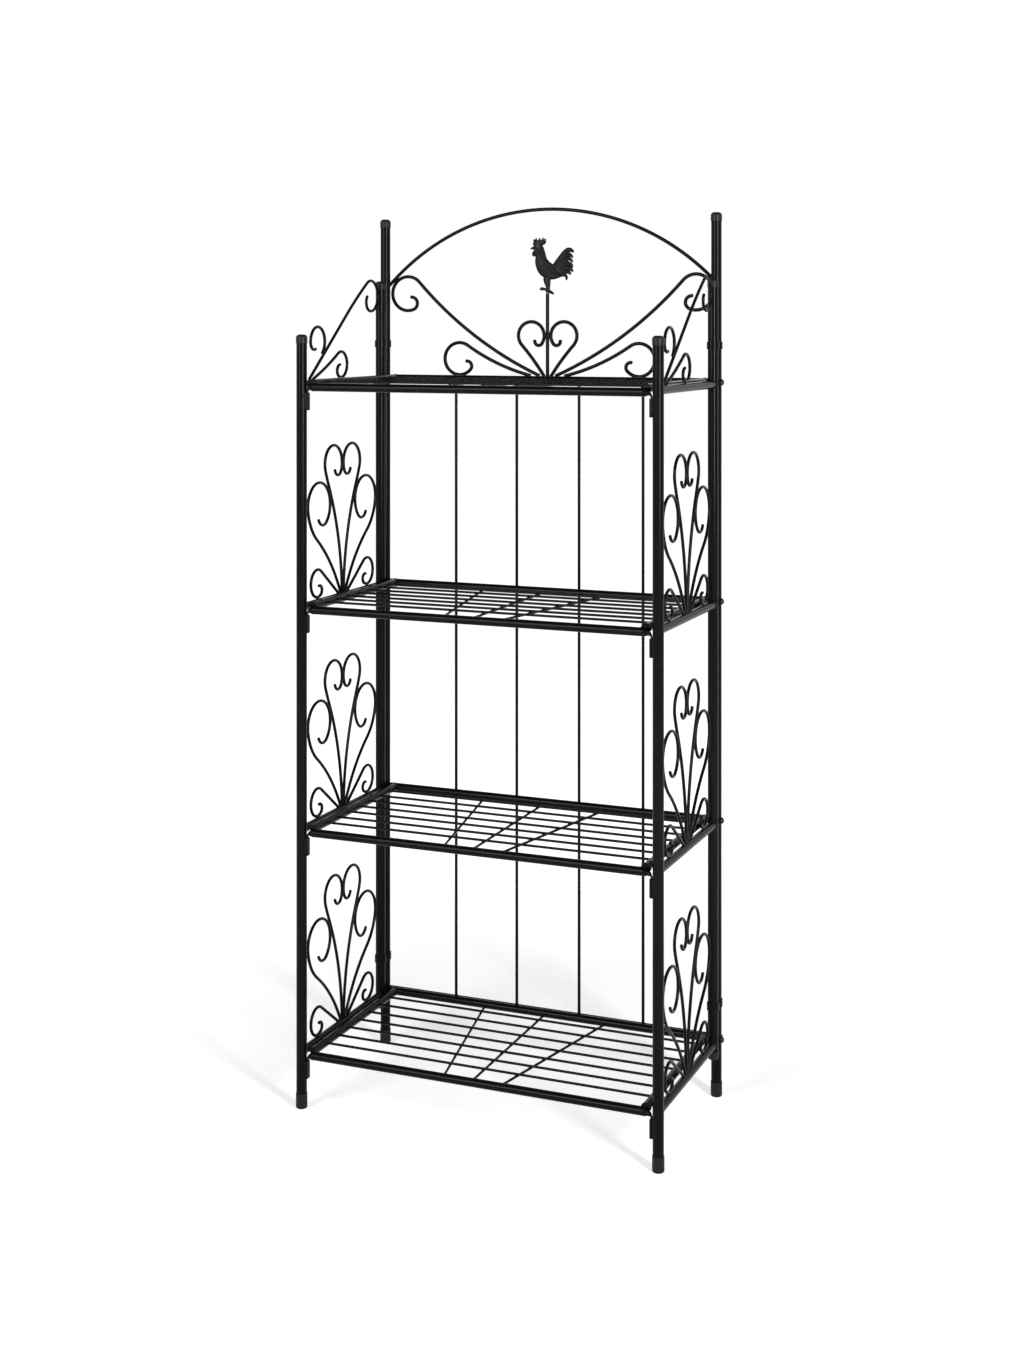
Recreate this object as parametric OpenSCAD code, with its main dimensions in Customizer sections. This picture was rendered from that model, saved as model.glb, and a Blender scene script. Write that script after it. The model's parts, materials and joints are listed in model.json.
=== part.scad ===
// Folding four-shelf plant stand of welded steel tube and bent rod, with scrollwork and a rooster finial.
// Millimetres. +Z up, +Y towards the back, origin on the floor below the middle of the bounding box.

/* [Frame] */
// Distance between the post axes, left to right
frame_w = 598; // [570:1:640]
// Distance from the front leg axis to the tall back post axis
frame_d = 300; // [285:1:330]
// Outer diameter of every post and leg
post_d = 17; // [14:0.5:19]
// Wall of the post tube
post_wall = 1.2; // [0.8:0.1:2]
// Gap between a side post and the tall post behind it
post_pair_gap = 2; // [1:0.5:4]

/* [Heights] */
// Height of the lowest shelf above the floor
first_shelf_h = 92; // [80:1:130]
// Height from one shelf to the next
tier_pitch = 355; // [345:1:380]
// Tall post tube above the top shelf
back_post_rise = 270; // [240:1:300]
// Side post tube above the top shelf
side_post_rise = 162; // [150:1:180]
// Side post tube below the lowest shelf
side_post_drop = 20; // [16:1:40]
// Front leg tube above the top shelf
front_leg_rise = 72; // [50:1:90]

/* [Caps and feet] */
// Wall of a cap or foot round the tube
cup_wall = 0.7; // [0.6:0.1:1.5]
// Length of a foot
foot_h = 24; // [18:1:30]
// Solid floor under the tube in a foot
foot_floor = 4; // [3:0.5:6]
// Edge radius of a foot
foot_round = 3; // [1:0.5:3]
// Length of a top cap
cap_h = 14; // [12:1:20]
// Solid end of a cap above the tube
cap_floor = 6; // [6:0.5:8]
// Edge radius of a cap
cap_round = 5.5; // [3:0.5:6]

/* [Shelves] */
// Outer diameter of the shelf rails
rail_d = 13.4; // [11:0.1:14]
// Wall of the shelf rails
rail_wall = 1; // [0.8:0.1:1.5]
// Distance from a post axis in to the shelf's side rail axis
side_rail_inset = 19.5; // [18:0.5:24]
// How far the front rail lies below the other rails
front_rail_drop = 6; // [4:0.5:7]
// Diameter of the shelf wires
wire_d = 4; // [2.5:0.1:4.5]
// Number of long wires on a shelf
wire_count = 7; // [5:1:9]
// Height of the long wires above the rail axes
wire_rise = 2; // [1:0.5:2.5]
// Sideways offset of the outer cross wires at the front rail
splay_front = 50; // [30:1:80]
// Sideways offset of the outer cross wires at the rear rail
splay_rear = 108; // [80:1:140]

/* [Hooks and pockets] */
// Width of a hook tab, front to back
tab_w = 6; // [5:0.5:9]
// Thickness of a hook tab
tab_t = 1.5; // [1.5:0.25:3]
// Length of a hook tab below the bend
tab_l = 14; // [10:1:16]
// Length of the flattened bend between rail and tab
bend_l = 13; // [10:1:16]
// How far the bend reaches below the rail
bend_drop = 2; // [1:0.5:3]
// Play of a tab in its pocket, each side, front to back
tab_play = 1.4; // [1.35:0.05:2.5]
// Gap beside a tab, left to right
tab_gap = 0.4; // [0.4:0.1:1]
// Wall of a pocket
pocket_t = 1.2; // [1:0.1:2]
// Height of a pocket
pocket_h = 28; // [22:1:36]
// Gap between a resting bend and the top of its pocket
rest_gap = 0.3; // [0.2:0.1:0.5]

/* [Shelf pivots] */
// Diameter of the pivot bolt
bolt_d = 6; // [5:0.5:7]
// Running clearance round the bolt, on the radius
bolt_gap = 0.05; // [0.03:0.01:0.1]
// Diameter of the domed bolt head
head_d = 11; // [9:0.5:13]
// Height of the domed bolt head
head_h = 4.5; // [3:0.5:6]
// Gap between a rear rail and the post
rail_end_gap = 2; // [1.8:0.1:3]
// Clearance on each face of the washer
washer_gap = 0.3; // [0.2:0.05:0.4]
// Outer diameter of the washer
washer_d = 12; // [10:0.5:14]
// Length of the sleeve in the end of a rear rail
sleeve_l = 16; // [12:1:24]

/* [Side panels] */
// Outer diameter of the side panel rails
panel_rail_d = 13.4; // [10:0.1:14]
// How far the side panel rails lie below the shelf rails
panel_rail_drop = 3; // [0:0.5:5]
// Diameter of the bent rods in the side panels
fan_rod_d = 5; // [4:0.5:6]
// Free space from the widest fan rod's axis to the post axis on each side
fan_side_gap = 20.5; // [18:0.5:23]
// How much narrower the low pair of a fan is than its middle pair
fan_low_inset = 10; // [6:1:14]
// Height of the linking straps
link_h = 12; // [8:1:20]
// Wall of the linking straps
link_t = 1.5; // [1:0.1:2.5]
// Height of each linking strap above the nearest shelf
link_rise = 60; // [40:1:90]

/* [Back and crest] */
// Diameter of the crossbars
bar_d = 8; // [7:0.5:10]
// How far a crossbar runs past the post axis
bar_overhang = 5; // [2:0.5:7]
// Diameter of the upright back rods
back_rod_d = 5; // [4:0.5:6]
// Spacing of the upright back rods
back_rod_pitch = 113; // [90:1:120]
// Diameter of the crest rods
crest_rod_d = 6; // [4:0.5:7]
// Height of the arch's crown above the top crossbar, axis to axis
arch_rise = 288; // [272:1:300]
// Height of the stem under the rooster
stem_h = 142; // [110:1:150]
// Thickness of the rooster
rooster_t = 4.4; // [3:0.1:4.4]
// Relief of the wing on each face
wing_relief = 0.6; // [0.3:0.1:0.6]

/* [Hidden] */
$fn = 48;
tiers = 4;
weld_gap = 0.05;
seam_l = 1;
seam_rise = 0.05;
back_rod_count = 4;

half_w = frame_w / 2;
post_r = post_d / 2;
rail_r = rail_d / 2;
wire_r = wire_d / 2;
bolt_r = bolt_d / 2;
bar_r = bar_d / 2;
back_rod_r = back_rod_d / 2;
crest_r = crest_rod_d / 2;
fan_r = fan_rod_d / 2;
panel_r = panel_rail_d / 2;
cup_r = post_r + weld_gap + cup_wall;

// Depth from the front leg axis and from the tall post axis to the outermost surfaces
front_reach = cup_r;
back_reach = post_r + weld_gap + bar_d;
front_y = (front_reach - back_reach - frame_d) / 2;
back_y = front_y + frame_d;
side_post_y = back_y - post_d - post_pair_gap;
bar_y = back_y + post_r + weld_gap + bar_r;
crest_y = back_y + post_r + weld_gap + crest_r;

function shelf_z(tier) = first_shelf_h + (tier - 1) * tier_pitch;
bottom_z = shelf_z(1);
top_z = shelf_z(tiers);

rear_rail_end = half_w - post_r - rail_end_gap;
side_rail_x = half_w - side_rail_inset;
tab_outer_x = half_w - cup_r - tab_gap;
tab_inner_x = tab_outer_x - tab_t;
front_rail_end = tab_outer_x - bend_l;
tab_top = -rail_r - bend_drop;
pocket_depth = cup_r + tab_t + 2 * tab_gap + pocket_t;

fan_mid_y = (front_y + side_post_y) / 2;
fan_half = (side_post_y - front_y) / 2;

STEEL = [0.09, 0.09, 0.1];
PLASTIC = [0.14, 0.14, 0.15];
CASTING = [0.12, 0.12, 0.12];

// Repeats its children on the left and, mirrored, on the right
module both_sides() {
    for (side = [0, 1])
        mirror([side, 0, 0]) children();
}

// Places its children at every shelf height
module every_tier() {
    for (tier = [1 : tiers])
        translate([0, 0, shelf_z(tier)]) children();
}

// Turns a drawing in the XY plane into the upright plane of the back panel
module on_back() {
    rotate([90, 0, 0]) children();
}

// Turns a drawing in the XY plane into an upright plane that runs front to back
module on_side() {
    rotate([90, 0, 90]) children();
}

// Solid bar along X, centred
module bar_x(length, d) {
    rotate([0, 90, 0]) cylinder(h = length, d = d, center = true);
}

// Solid bar along Y from y0 to y1
module bar_y(y0, y1, d) {
    translate([0, y0, 0]) rotate([-90, 0, 0]) cylinder(h = y1 - y0, d = d);
}

// Rod bent through a chain of tangent bends, from the origin along +X in the XY plane.
// A step is [radius, sweep], with left bends positive; a step with radius 0 is a straight run of that length.
// A hair-thin seam ring joins each step to the next.
module bent_rod(steps, d, i = 0) {
    if (i < len(steps)) {
        radius = steps[i][0];
        sweep = steps[i][1];
        turn = sign(sweep);
        if (i > 0) bar_x(seam_l, d + 2 * seam_rise);
        if (radius == 0) {
            rotate([0, 90, 0]) cylinder(h = sweep, d = d);
            translate([sweep, 0, 0]) bent_rod(steps, d, i + 1);
        } else {
            translate([0, turn * radius, 0]) {
                rotate([0, 0, -90 * turn]) rotate_extrude(angle = sweep) translate([radius, 0]) circle(d = d);
                rotate([0, 0, sweep]) translate([0, -turn * radius, 0]) bent_rod(steps, d, i + 1);
            }
        }
    }
}

// Bent rod that springs from a level support: its end just rests on the support's top line
module sprung_rod(x, top, heading, steps, d) {
    translate([x, top + d / 2 * cos(heading), 0]) rotate([0, 0, heading]) bent_rod(steps, d);
}

// Post tube between two heights
module post_tube(z0, z1) {
    difference() {
        translate([0, 0, z0]) cylinder(h = z1 - z0, d = post_d);
        translate([0, 0, z0 - 1]) cylinder(h = z1 - z0 + 2, d = post_d - 2 * post_wall);
    }
}

// Cup over the end of a tube: closed end at z = 0 with a rounded edge, open end up
module end_cup(height, floor_t, edge_r) {
    difference() {
        rotate_extrude() {
            translate([0, edge_r]) square([cup_r, height - edge_r]);
            square([cup_r - edge_r, edge_r]);
            intersection() {
                translate([cup_r - edge_r, edge_r]) circle(r = edge_r);
                square([cup_r, height]);
            }
        }
        translate([0, 0, floor_t]) cylinder(h = height, r = post_r + weld_gap);
    }
}

module post_cap() {
    mirror([0, 0, 1]) translate([0, 0, -cap_floor]) end_cup(cap_h, cap_floor, cap_round);
}

module post_foot() {
    end_cup(foot_h, foot_floor, foot_round);
}

// Back panel: posts, crossbars and rods
module back_post() {
    color(STEEL) translate([half_w, back_y, 0]) difference() {
        post_tube(foot_floor, top_z + back_post_rise);
        every_tier() bar_x(2 * post_d, bolt_d + 2 * bolt_gap);
    }
}

module back_post_left() {
    mirror([1, 0, 0]) back_post();
}

module back_post_right() {
    back_post();
}

module back_post_caps() {
    color(PLASTIC) both_sides() translate([half_w, back_y, top_z + back_post_rise]) post_cap();
}

module back_post_feet() {
    color(PLASTIC) both_sides() translate([half_w, back_y, 0]) post_foot();
}

module crossbars() {
    color(STEEL) for (z = [bottom_z, top_z])
        translate([0, bar_y, z]) bar_x(frame_w + 2 * bar_overhang, bar_d);
}

module back_rods() {
    rod_z = bottom_z + bar_r + weld_gap;
    rod_h = top_z - bar_r - weld_gap - rod_z;
    color(STEEL) for (i = [0 : back_rod_count - 1])
        translate([(i - (back_rod_count - 1) / 2) * back_rod_pitch, bar_y, rod_z])
            cylinder(h = rod_h, r = back_rod_r);
}

// Crest scrolls, drawn from the middle outwards and measured from the top crossbar's axis
crest_top = bar_r + weld_gap;

// The large scroll reaches until its curl meets the inner side of the post, as seen from the front
large_x = 14.5;
large_heading = 23.5;
large_rise_sweep = 23.9;
large_curl_r = 29.5;
large_curl_sweep = 250;
large_eye_r = 11;
large_eye_sweep = 163;
large_steep = large_heading + large_rise_sweep;
large_reach = half_w - post_r;
large_rise_r = (large_reach - large_x - large_curl_r * (1 + sin(large_steep)))
    / (sin(large_steep) - sin(large_heading));
large_start_z = crest_top + crest_r * cos(large_heading);
large_curl_x = large_reach - large_curl_r;
large_curl_z = large_start_z + large_rise_r * (cos(large_heading) - cos(large_steep))
    - large_curl_r * cos(large_steep);

module crest_large_scrolls() {
    color(STEEL) both_sides() translate([0, crest_y, top_z]) on_back()
        sprung_rod(large_x, crest_top, large_heading, [
            [large_rise_r, large_rise_sweep],
            [large_curl_r, -large_curl_sweep],
            [large_eye_r, -large_eye_sweep]
        ], crest_rod_d);
}

// The small scroll's curl comes back down to rest on the crossbar
small_x = 31;
small_heading = 13.3;
small_rise_r = 358;
small_rise_sweep = 20.4;
small_curl_sweep = 262;
small_eye_r = 8.5;
small_eye_sweep = 143;
small_steep = small_heading + small_rise_sweep;
small_start_z = crest_top + crest_r * cos(small_heading);
small_curl_r = (small_start_z + small_rise_r * (cos(small_heading) - cos(small_steep)) - crest_top - crest_r
    - weld_gap) / (1 + cos(small_steep));

module crest_small_scrolls() {
    color(STEEL) both_sides() translate([0, crest_y, top_z]) on_back()
        sprung_rod(small_x, crest_top, small_heading, [
            [small_rise_r, small_rise_sweep],
            [small_curl_r, -small_curl_sweep],
            [small_eye_r, -small_eye_sweep]
        ], crest_rod_d);
}

// Each lobe of the heart springs beside the stem, swings out and comes back to touch the stem
heart_heading = 57.2;
heart_swing_r = 396;
heart_swing_sweep = 9.7;
heart_lobe_r = 23.5;
heart_lobe_sweep = 258;
heart_eye_r = 7;
heart_eye_sweep = 157;
heart_flat = heart_heading - heart_swing_sweep;
heart_x = crest_rod_d + weld_gap + heart_lobe_r * (1 + sin(heart_flat))
    - heart_swing_r * (sin(heart_heading) - sin(heart_flat));

module crest_heart() {
    color(STEEL) both_sides() translate([0, crest_y, top_z]) on_back()
        sprung_rod(heart_x, crest_top, heart_heading, [
            [heart_swing_r, -heart_swing_sweep],
            [heart_lobe_r, heart_lobe_sweep],
            [heart_eye_r, heart_eye_sweep]
        ], crest_rod_d);
}

// The arch is the circle through its crown on the middle line that lies on the curls of the large scrolls
arch_near = arch_rise - large_curl_r - crest_rod_d - weld_gap;
arch_cz = (arch_near * arch_near - large_curl_x * large_curl_x - large_curl_z * large_curl_z)
    / (2 * (arch_near - large_curl_z));
arch_r = arch_rise - arch_cz;
arch_half_angle = asin(half_w / arch_r);

module crest_arch() {
    color(STEEL) translate([0, crest_y, top_z + arch_cz]) on_back()
        rotate([0, 0, 90 - arch_half_angle]) rotate_extrude(angle = 2 * arch_half_angle)
            translate([arch_r, 0]) circle(r = crest_r);
}

module rooster_stem() {
    color(STEEL) translate([0, crest_y, top_z + crest_top]) cylinder(h = stem_h - weld_gap, r = crest_r);
}

// Smooth curve through a list of points, with a few steps between each pair
curve_steps = 4;
function blend(a, b, c, d, t) = 0.5 * ((2 * b) + (c - a) * t + (2 * a - 5 * b + 4 * c - d) * t * t
    + (3 * b - a - 3 * c + d) * t * t * t);
function at(points, i) = points[min(max(i, 0), len(points) - 1)];
function smooth(points) = [
    for (i = [0 : len(points) - 2]) for (s = [0 : curve_steps - 1])
        blend(at(points, i - 1), at(points, i), at(points, i + 1), at(points, i + 2), s / curve_steps),
    at(points, len(points) - 1)
];

// Rooster's outline, facing left, with the top of the stem at the origin
comb = [
    [-32, 73], [-27, 78.5], [-26, 84], [-22.5, 92], [-19, 89.5], [-15, 92], [-12.5, 88],
    [-9, 93.5], [-7, 89.5], [-3, 88]
];
neck_and_back = [[-5.5, 82], [-9, 79], [-5.5, 70.5], [-2, 57], [3, 53.5], [9, 49.5]];
tail_top = [[9, 49.5], [14.5, 55], [23, 68], [31, 74], [38, 75.5], [43, 73.5], [47, 69]];
feathers = [
    [46.5, 67], [42, 68], [38, 66], [42, 64], [44.5, 57], [38.5, 57.5], [41, 55], [44, 49.5], [39, 49.5],
    [42, 45], [43.5, 42], [42, 38], [44, 33.5], [40, 33.5], [39, 28.5], [34.5, 30]
];
sickle = [[34.5, 30], [34.5, 24.5], [31.5, 20.5], [29.5, 23], [28, 26]];
belly = [[28, 26], [17, 22], [10, 20.5], [6, 16], [4.5, 9], [3.8, 4.5]];
feet = [
    [9.5, -0.5], [8, -3], [3.5, 0], [-3, 0], [-6.5, 3.5], [-12, 3], [-13.5, 5.5], [-10, 9], [-6.5, 7.5], [-3.5, 10]
];
breast = [
    [-8, 16], [-9.5, 21], [-10, 26.5], [-19, 33], [-23.5, 41], [-24, 51], [-22, 60]
];
wattle = [[-25.5, 61], [-28.5, 64.5], [-27, 67.5], [-24.5, 69], [-26, 71.5]];
rooster_outline = concat(comb, smooth(neck_and_back), smooth(tail_top), feathers, smooth(sickle),
    smooth(belly), feet, smooth(breast), smooth(wattle));
wing_outline = concat(
    smooth([[-12, 47], [-4, 50], [4, 46], [14, 44], [24, 47]]),
    smooth([[24, 47], [15, 36], [4, 30], [-6, 33], [-12, 47]])
);

module rooster() {
    color(CASTING) translate([0, crest_y, top_z + crest_top + stem_h]) on_back() {
        linear_extrude(rooster_t, center = true) polygon(rooster_outline);
        linear_extrude(rooster_t + 2 * wing_relief, center = true) polygon(wing_outline);
    }
}

// Side panels: front legs, side posts, rails, fans and crests
module front_leg() {
    color(STEEL) translate([half_w, front_y, 0]) post_tube(foot_floor, top_z + front_leg_rise);
}

module front_leg_left() {
    mirror([1, 0, 0]) front_leg();
}

module front_leg_right() {
    front_leg();
}

module front_leg_caps() {
    color(PLASTIC) both_sides() translate([half_w, front_y, top_z + front_leg_rise]) post_cap();
}

module front_leg_feet() {
    color(PLASTIC) both_sides() translate([half_w, front_y, 0]) post_foot();
}

module side_post() {
    color(STEEL) translate([half_w, side_post_y, 0])
        post_tube(bottom_z - side_post_drop, top_z + side_post_rise);
}

module side_post_left() {
    mirror([1, 0, 0]) side_post();
}

module side_post_right() {
    side_post();
}

module side_post_caps() {
    color(PLASTIC) both_sides() translate([half_w, side_post_y, 0]) {
        translate([0, 0, top_z + side_post_rise]) post_cap();
        translate([0, 0, bottom_z - side_post_drop]) mirror([0, 0, 1]) post_cap();
    }
}

// Rail tube whose ends are cut to the curve of the leg and of the side post
module side_rails() {
    color(STEEL) translate([half_w, 0, -panel_rail_drop]) every_tier() difference() {
        bar_y(front_y, side_post_y, panel_rail_d);
        bar_y(front_y, side_post_y, panel_rail_d - 2 * rail_wall);
        for (y = [front_y, side_post_y])
            translate([0, y, 0]) cylinder(h = 2 * panel_rail_d, r = post_r + weld_gap, center = true);
    }
}

module side_rails_left() {
    mirror([1, 0, 0]) side_rails();
}

module side_rails_right() {
    side_rails();
}

// A fan is three mirrored pairs of bent rods that spring from the middle of a side rail
fan_reach = fan_half - fan_side_gap;

// The tall pair stands close together and swings out until the two curls meet at the middle line
tall_gap = 0.4;
tall_x = fan_r + tall_gap / 2;
tall_heading = 88.2;
tall_out_sweep = 25.5;
tall_up_r = 241;
tall_up_sweep = 6;
tall_curl_r = 29.9;
tall_curl_sweep = 230;
tall_eye_r = 11.5;
tall_eye_sweep = 141;
tall_flat = tall_heading - tall_out_sweep;
tall_steep = tall_flat + tall_up_sweep;
tall_out_r = (fan_r + weld_gap / 2 - tall_x - tall_up_r * (sin(tall_steep) - sin(tall_flat))
    + tall_curl_r * (1 + sin(tall_steep))) / (sin(tall_heading) - sin(tall_flat));
tall_steps = [
    [tall_out_r, -tall_out_sweep], [tall_up_r, tall_up_sweep], [tall_curl_r, tall_curl_sweep],
    [tall_eye_r, tall_eye_sweep]
];

// The middle pair swings out until its curl reaches the widest point of the fan
mid_x = 8.6;
mid_heading = 62.5;
mid_out_sweep = 26.1;
mid_up_r = 77.5;
mid_up_sweep = 42.4;
mid_curl_r = 37.8;
mid_curl_sweep = 240;
mid_eye_r = 17;
mid_eye_sweep = 107;
mid_flat = mid_heading - mid_out_sweep;
mid_steep = mid_flat + mid_up_sweep;
mid_out_r = (fan_reach - mid_x - mid_up_r * (sin(mid_steep) - sin(mid_flat)) - mid_curl_r * (1 - sin(mid_steep)))
    / (sin(mid_heading) - sin(mid_flat));
mid_steps = [
    [mid_out_r, -mid_out_sweep], [mid_up_r, mid_up_sweep], [mid_curl_r, mid_curl_sweep], [mid_eye_r, mid_eye_sweep]
];

// The low pair runs out straight; its curl is as wide as the reach allows and comes back down onto the rail
low_x = 18.5;
low_heading = 36;
low_curl_sweep = 246;
low_eye_r = 8;
low_eye_sweep = 169;
low_reach = fan_reach - fan_low_inset - low_x;
low_drop = fan_r * (1 - cos(low_heading)) + weld_gap;
low_curl_r = (low_reach * sin(low_heading) - low_drop * cos(low_heading))
    / ((1 + sin(low_heading)) * sin(low_heading) + (1 + cos(low_heading)) * cos(low_heading));
low_run = (low_drop + low_curl_r * (1 + cos(low_heading))) / sin(low_heading);
low_steps = [[0, low_run], [low_curl_r, -low_curl_sweep], [low_eye_r, -low_eye_sweep]];

module fan() {
    for (side = [0, 1]) mirror([side, 0, 0]) {
        sprung_rod(tall_x, panel_r, tall_heading, tall_steps, fan_rod_d);
        sprung_rod(mid_x, panel_r, mid_heading, mid_steps, fan_rod_d);
        sprung_rod(low_x, panel_r, low_heading, low_steps, fan_rod_d);
    }
}

module side_fan(tier) {
    color(STEEL) translate([half_w, fan_mid_y, shelf_z(tier) - panel_rail_drop]) on_side() fan();
}

// The side crest is a long rod whose curl stands against the side post, with one curl above and one below it
crest_run_gap = 16.5;
crest_run_y = post_r + crest_run_gap;
crest_run_heading = 38.8;
crest_run_end_sweep = 6;
crest_run_end_r = 900;
crest_hook_r = 26;
crest_hook_sweep = 225;
crest_hook_eye_r = 15;
crest_hook_eye_sweep = 120;
crest_hook_flat = crest_run_heading - crest_run_end_sweep;
crest_hook_reach = side_post_y - front_y - post_r - fan_r - weld_gap;
crest_run = (crest_hook_reach - crest_run_y - crest_run_end_r * (sin(crest_run_heading) - sin(crest_hook_flat))
    - crest_hook_r * (1 + sin(crest_hook_flat))) / cos(crest_run_heading);
upper_curl_at = 60;
upper_curl_r = 24;
upper_curl_sweep = 235;
upper_eye_r = 12;
upper_eye_sweep = 110;
lower_curl_gap = 30.5;
lower_curl_y = post_r + lower_curl_gap;
lower_curl_heading = 20.5;
lower_rise_r = 600;
lower_rise_sweep = 9;
lower_curl_sweep = 230;
lower_eye_r = 10;
lower_eye_sweep = 160;
lower_steep = lower_curl_heading + lower_rise_sweep;
lower_curl_r = (lower_rise_r * (cos(lower_curl_heading) - cos(lower_steep)) - fan_r * (1 - cos(lower_curl_heading))
    - weld_gap) / (1 + cos(lower_steep));

module side_crest() {
    color(STEEL) translate([half_w, front_y, top_z - panel_rail_drop]) on_side() {
        sprung_rod(crest_run_y, panel_r, crest_run_heading, [
            [0, crest_run],
            [crest_run_end_r, -crest_run_end_sweep],
            [crest_hook_r, -crest_hook_sweep],
            [crest_hook_eye_r, -crest_hook_eye_sweep]
        ], fan_rod_d);
        translate([crest_run_y, panel_r + fan_r * cos(crest_run_heading), 0])
            rotate([0, 0, crest_run_heading]) translate([upper_curl_at, fan_rod_d + weld_gap, 0])
                bent_rod([[upper_curl_r, upper_curl_sweep], [upper_eye_r, upper_eye_sweep]], fan_rod_d);
        sprung_rod(lower_curl_y, panel_r, lower_curl_heading, [
            [lower_rise_r, lower_rise_sweep],
            [lower_curl_r, -lower_curl_sweep],
            [lower_eye_r, -lower_eye_sweep]
        ], fan_rod_d);
    }
}

// Pockets on the front legs that take the shelf hooks
module shelf_pocket() {
    pocket_w = tab_w + 2 * tab_play;
    translate([0, 0, tab_top - rest_gap - pocket_h]) difference() {
        translate([-pocket_depth, -pocket_w / 2 - pocket_t, 0])
            cube([pocket_depth, pocket_w + 2 * pocket_t, pocket_h]);
        translate([-pocket_depth + pocket_t, -pocket_w / 2, -1]) cube([pocket_depth, pocket_w, pocket_h + 2]);
        translate([0, 0, -1]) cylinder(h = pocket_h + 2, r = post_r + weld_gap);
        translate([0, -post_d, -1]) cube([post_d, 2 * post_d, pocket_h + 2]);
    }
}

module shelf_pockets() {
    color(STEEL) both_sides() translate([half_w, front_y, -front_rail_drop]) every_tier() shelf_pocket();
}

// Straps round both posts of a corner, on which a side panel folds
module post_link() {
    spacing = back_y - side_post_y;
    difference() {
        linear_extrude(link_h, center = true) {
            for (y = [0, -spacing]) translate([0, y]) circle(r = post_r + bolt_gap + link_t);
            translate([-post_r / 2, -spacing]) square([post_r, spacing]);
        }
        for (y = [0, -spacing])
            translate([0, y, 0]) cylinder(h = 2 * link_h, r = post_r + bolt_gap, center = true);
    }
}

module post_links() {
    color(STEEL) both_sides() for (z = [bottom_z, top_z])
        translate([half_w, back_y, z + link_rise]) post_link();
}

// Shelf pivots: domed bolt from the outside, through the tall post and into the rear rail
module pivot_bolt() {
    dome_r = (head_d * head_d / 4 + head_h * head_h) / (2 * head_h);
    shank_end = rear_rail_end - sleeve_l;
    head_x = half_w + post_r;
    translate([head_x, 0, 0]) rotate([0, 90, 0]) rotate_extrude() {
        translate([0, shank_end - head_x]) square([bolt_r, head_x - shank_end]);
        intersection() {
            translate([0, head_h - dome_r]) circle(r = dome_r);
            square([head_d / 2, head_h]);
        }
    }
}

module pivot_bolts() {
    color(STEEL) both_sides() translate([0, back_y, 0]) every_tier() pivot_bolt();
}

module pivot_washers() {
    color(STEEL) both_sides() translate([rear_rail_end + washer_gap, back_y, 0]) every_tier()
        rotate([0, 90, 0]) difference() {
            cylinder(h = rail_end_gap - 2 * washer_gap, d = washer_d);
            translate([0, 0, -1]) cylinder(h = rail_end_gap + 2, r = bolt_r + bolt_gap);
        }
}

// Shelf pieces, measured from the shelf's own height
module tube_x(half_length, d, wall) {
    difference() {
        bar_x(2 * half_length, d);
        bar_x(2 * half_length + 2, d - 2 * wall);
    }
}

module shelf_front_rail(tier) {
    color(STEEL) translate([0, front_y, shelf_z(tier) - front_rail_drop])
        tube_x(front_rail_end - weld_gap, rail_d, rail_wall);
}

// Flattened end of the front rail, bent down into a tab
module hook() {
    disc_t = 0.5;
    shoulder_r = 4;
    hull() {
        translate([front_rail_end, 0, 0]) rotate([0, 90, 0]) cylinder(h = disc_t, d = rail_d, $fn = 32);
        translate([tab_outer_x - shoulder_r, 0, rail_r - 2 * shoulder_r]) rotate([90, 0, 0])
            cylinder(h = tab_w, r = shoulder_r, center = true, $fn = 32);
        translate([tab_inner_x, -tab_w / 2, tab_top]) cube([tab_t, tab_w, bend_drop]);
    }
    translate([tab_inner_x, -tab_w / 2, tab_top - tab_l]) cube([tab_t, tab_w, tab_l]);
}

module shelf_hooks(tier) {
    color(STEEL) both_sides() translate([0, front_y, shelf_z(tier) - front_rail_drop]) hook();
}

module shelf_rear_rail(tier) {
    color(STEEL) translate([0, back_y, shelf_z(tier)]) tube_x(rear_rail_end, rail_d, rail_wall);
}

module shelf_sleeves(tier) {
    color(STEEL) both_sides() translate([rear_rail_end - sleeve_l, back_y, shelf_z(tier)])
        rotate([0, 90, 0]) difference() {
            cylinder(h = sleeve_l, r = rail_r - rail_wall - weld_gap);
            translate([0, 0, -1]) cylinder(h = sleeve_l + 2, r = bolt_r + bolt_gap);
        }
}

// Side rail tube, cut to the curves of the front and rear rails and closed at its front end
module shelf_side_rails(tier) {
    end_wall = 3;
    color(STEEL) both_sides() translate([side_rail_x, 0, shelf_z(tier)]) difference() {
        bar_y(front_y, back_y, rail_d);
        bar_y(front_y + rail_r + end_wall, back_y, rail_d - 2 * rail_wall);
        translate([0, front_y, -front_rail_drop]) bar_x(2 * rail_d, rail_d + 2 * weld_gap);
        translate([0, back_y, 0]) bar_x(2 * rail_d, rail_d + 2 * weld_gap);
    }
}

// Long wires between the side rails, and cross wires under them from the front rail to the rear rail
cross_z = wire_rise - wire_d - weld_gap;
cross_front_y = front_y + sqrt(pow(rail_r, 2) - pow(cross_z + front_rail_drop - wire_r, 2)) + weld_gap;
cross_rear_y = back_y - rail_r - weld_gap;

module cross_wire(front_x, rear_x) {
    run = cross_rear_y - cross_front_y;
    slant = atan((rear_x - front_x) / run);
    trim = wire_r * abs(sin(slant));
    translate([front_x, cross_front_y, cross_z]) rotate([-90, 0, -slant])
        translate([0, 0, trim]) cylinder(h = run / cos(slant) - 2 * trim, r = wire_r);
}

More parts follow.
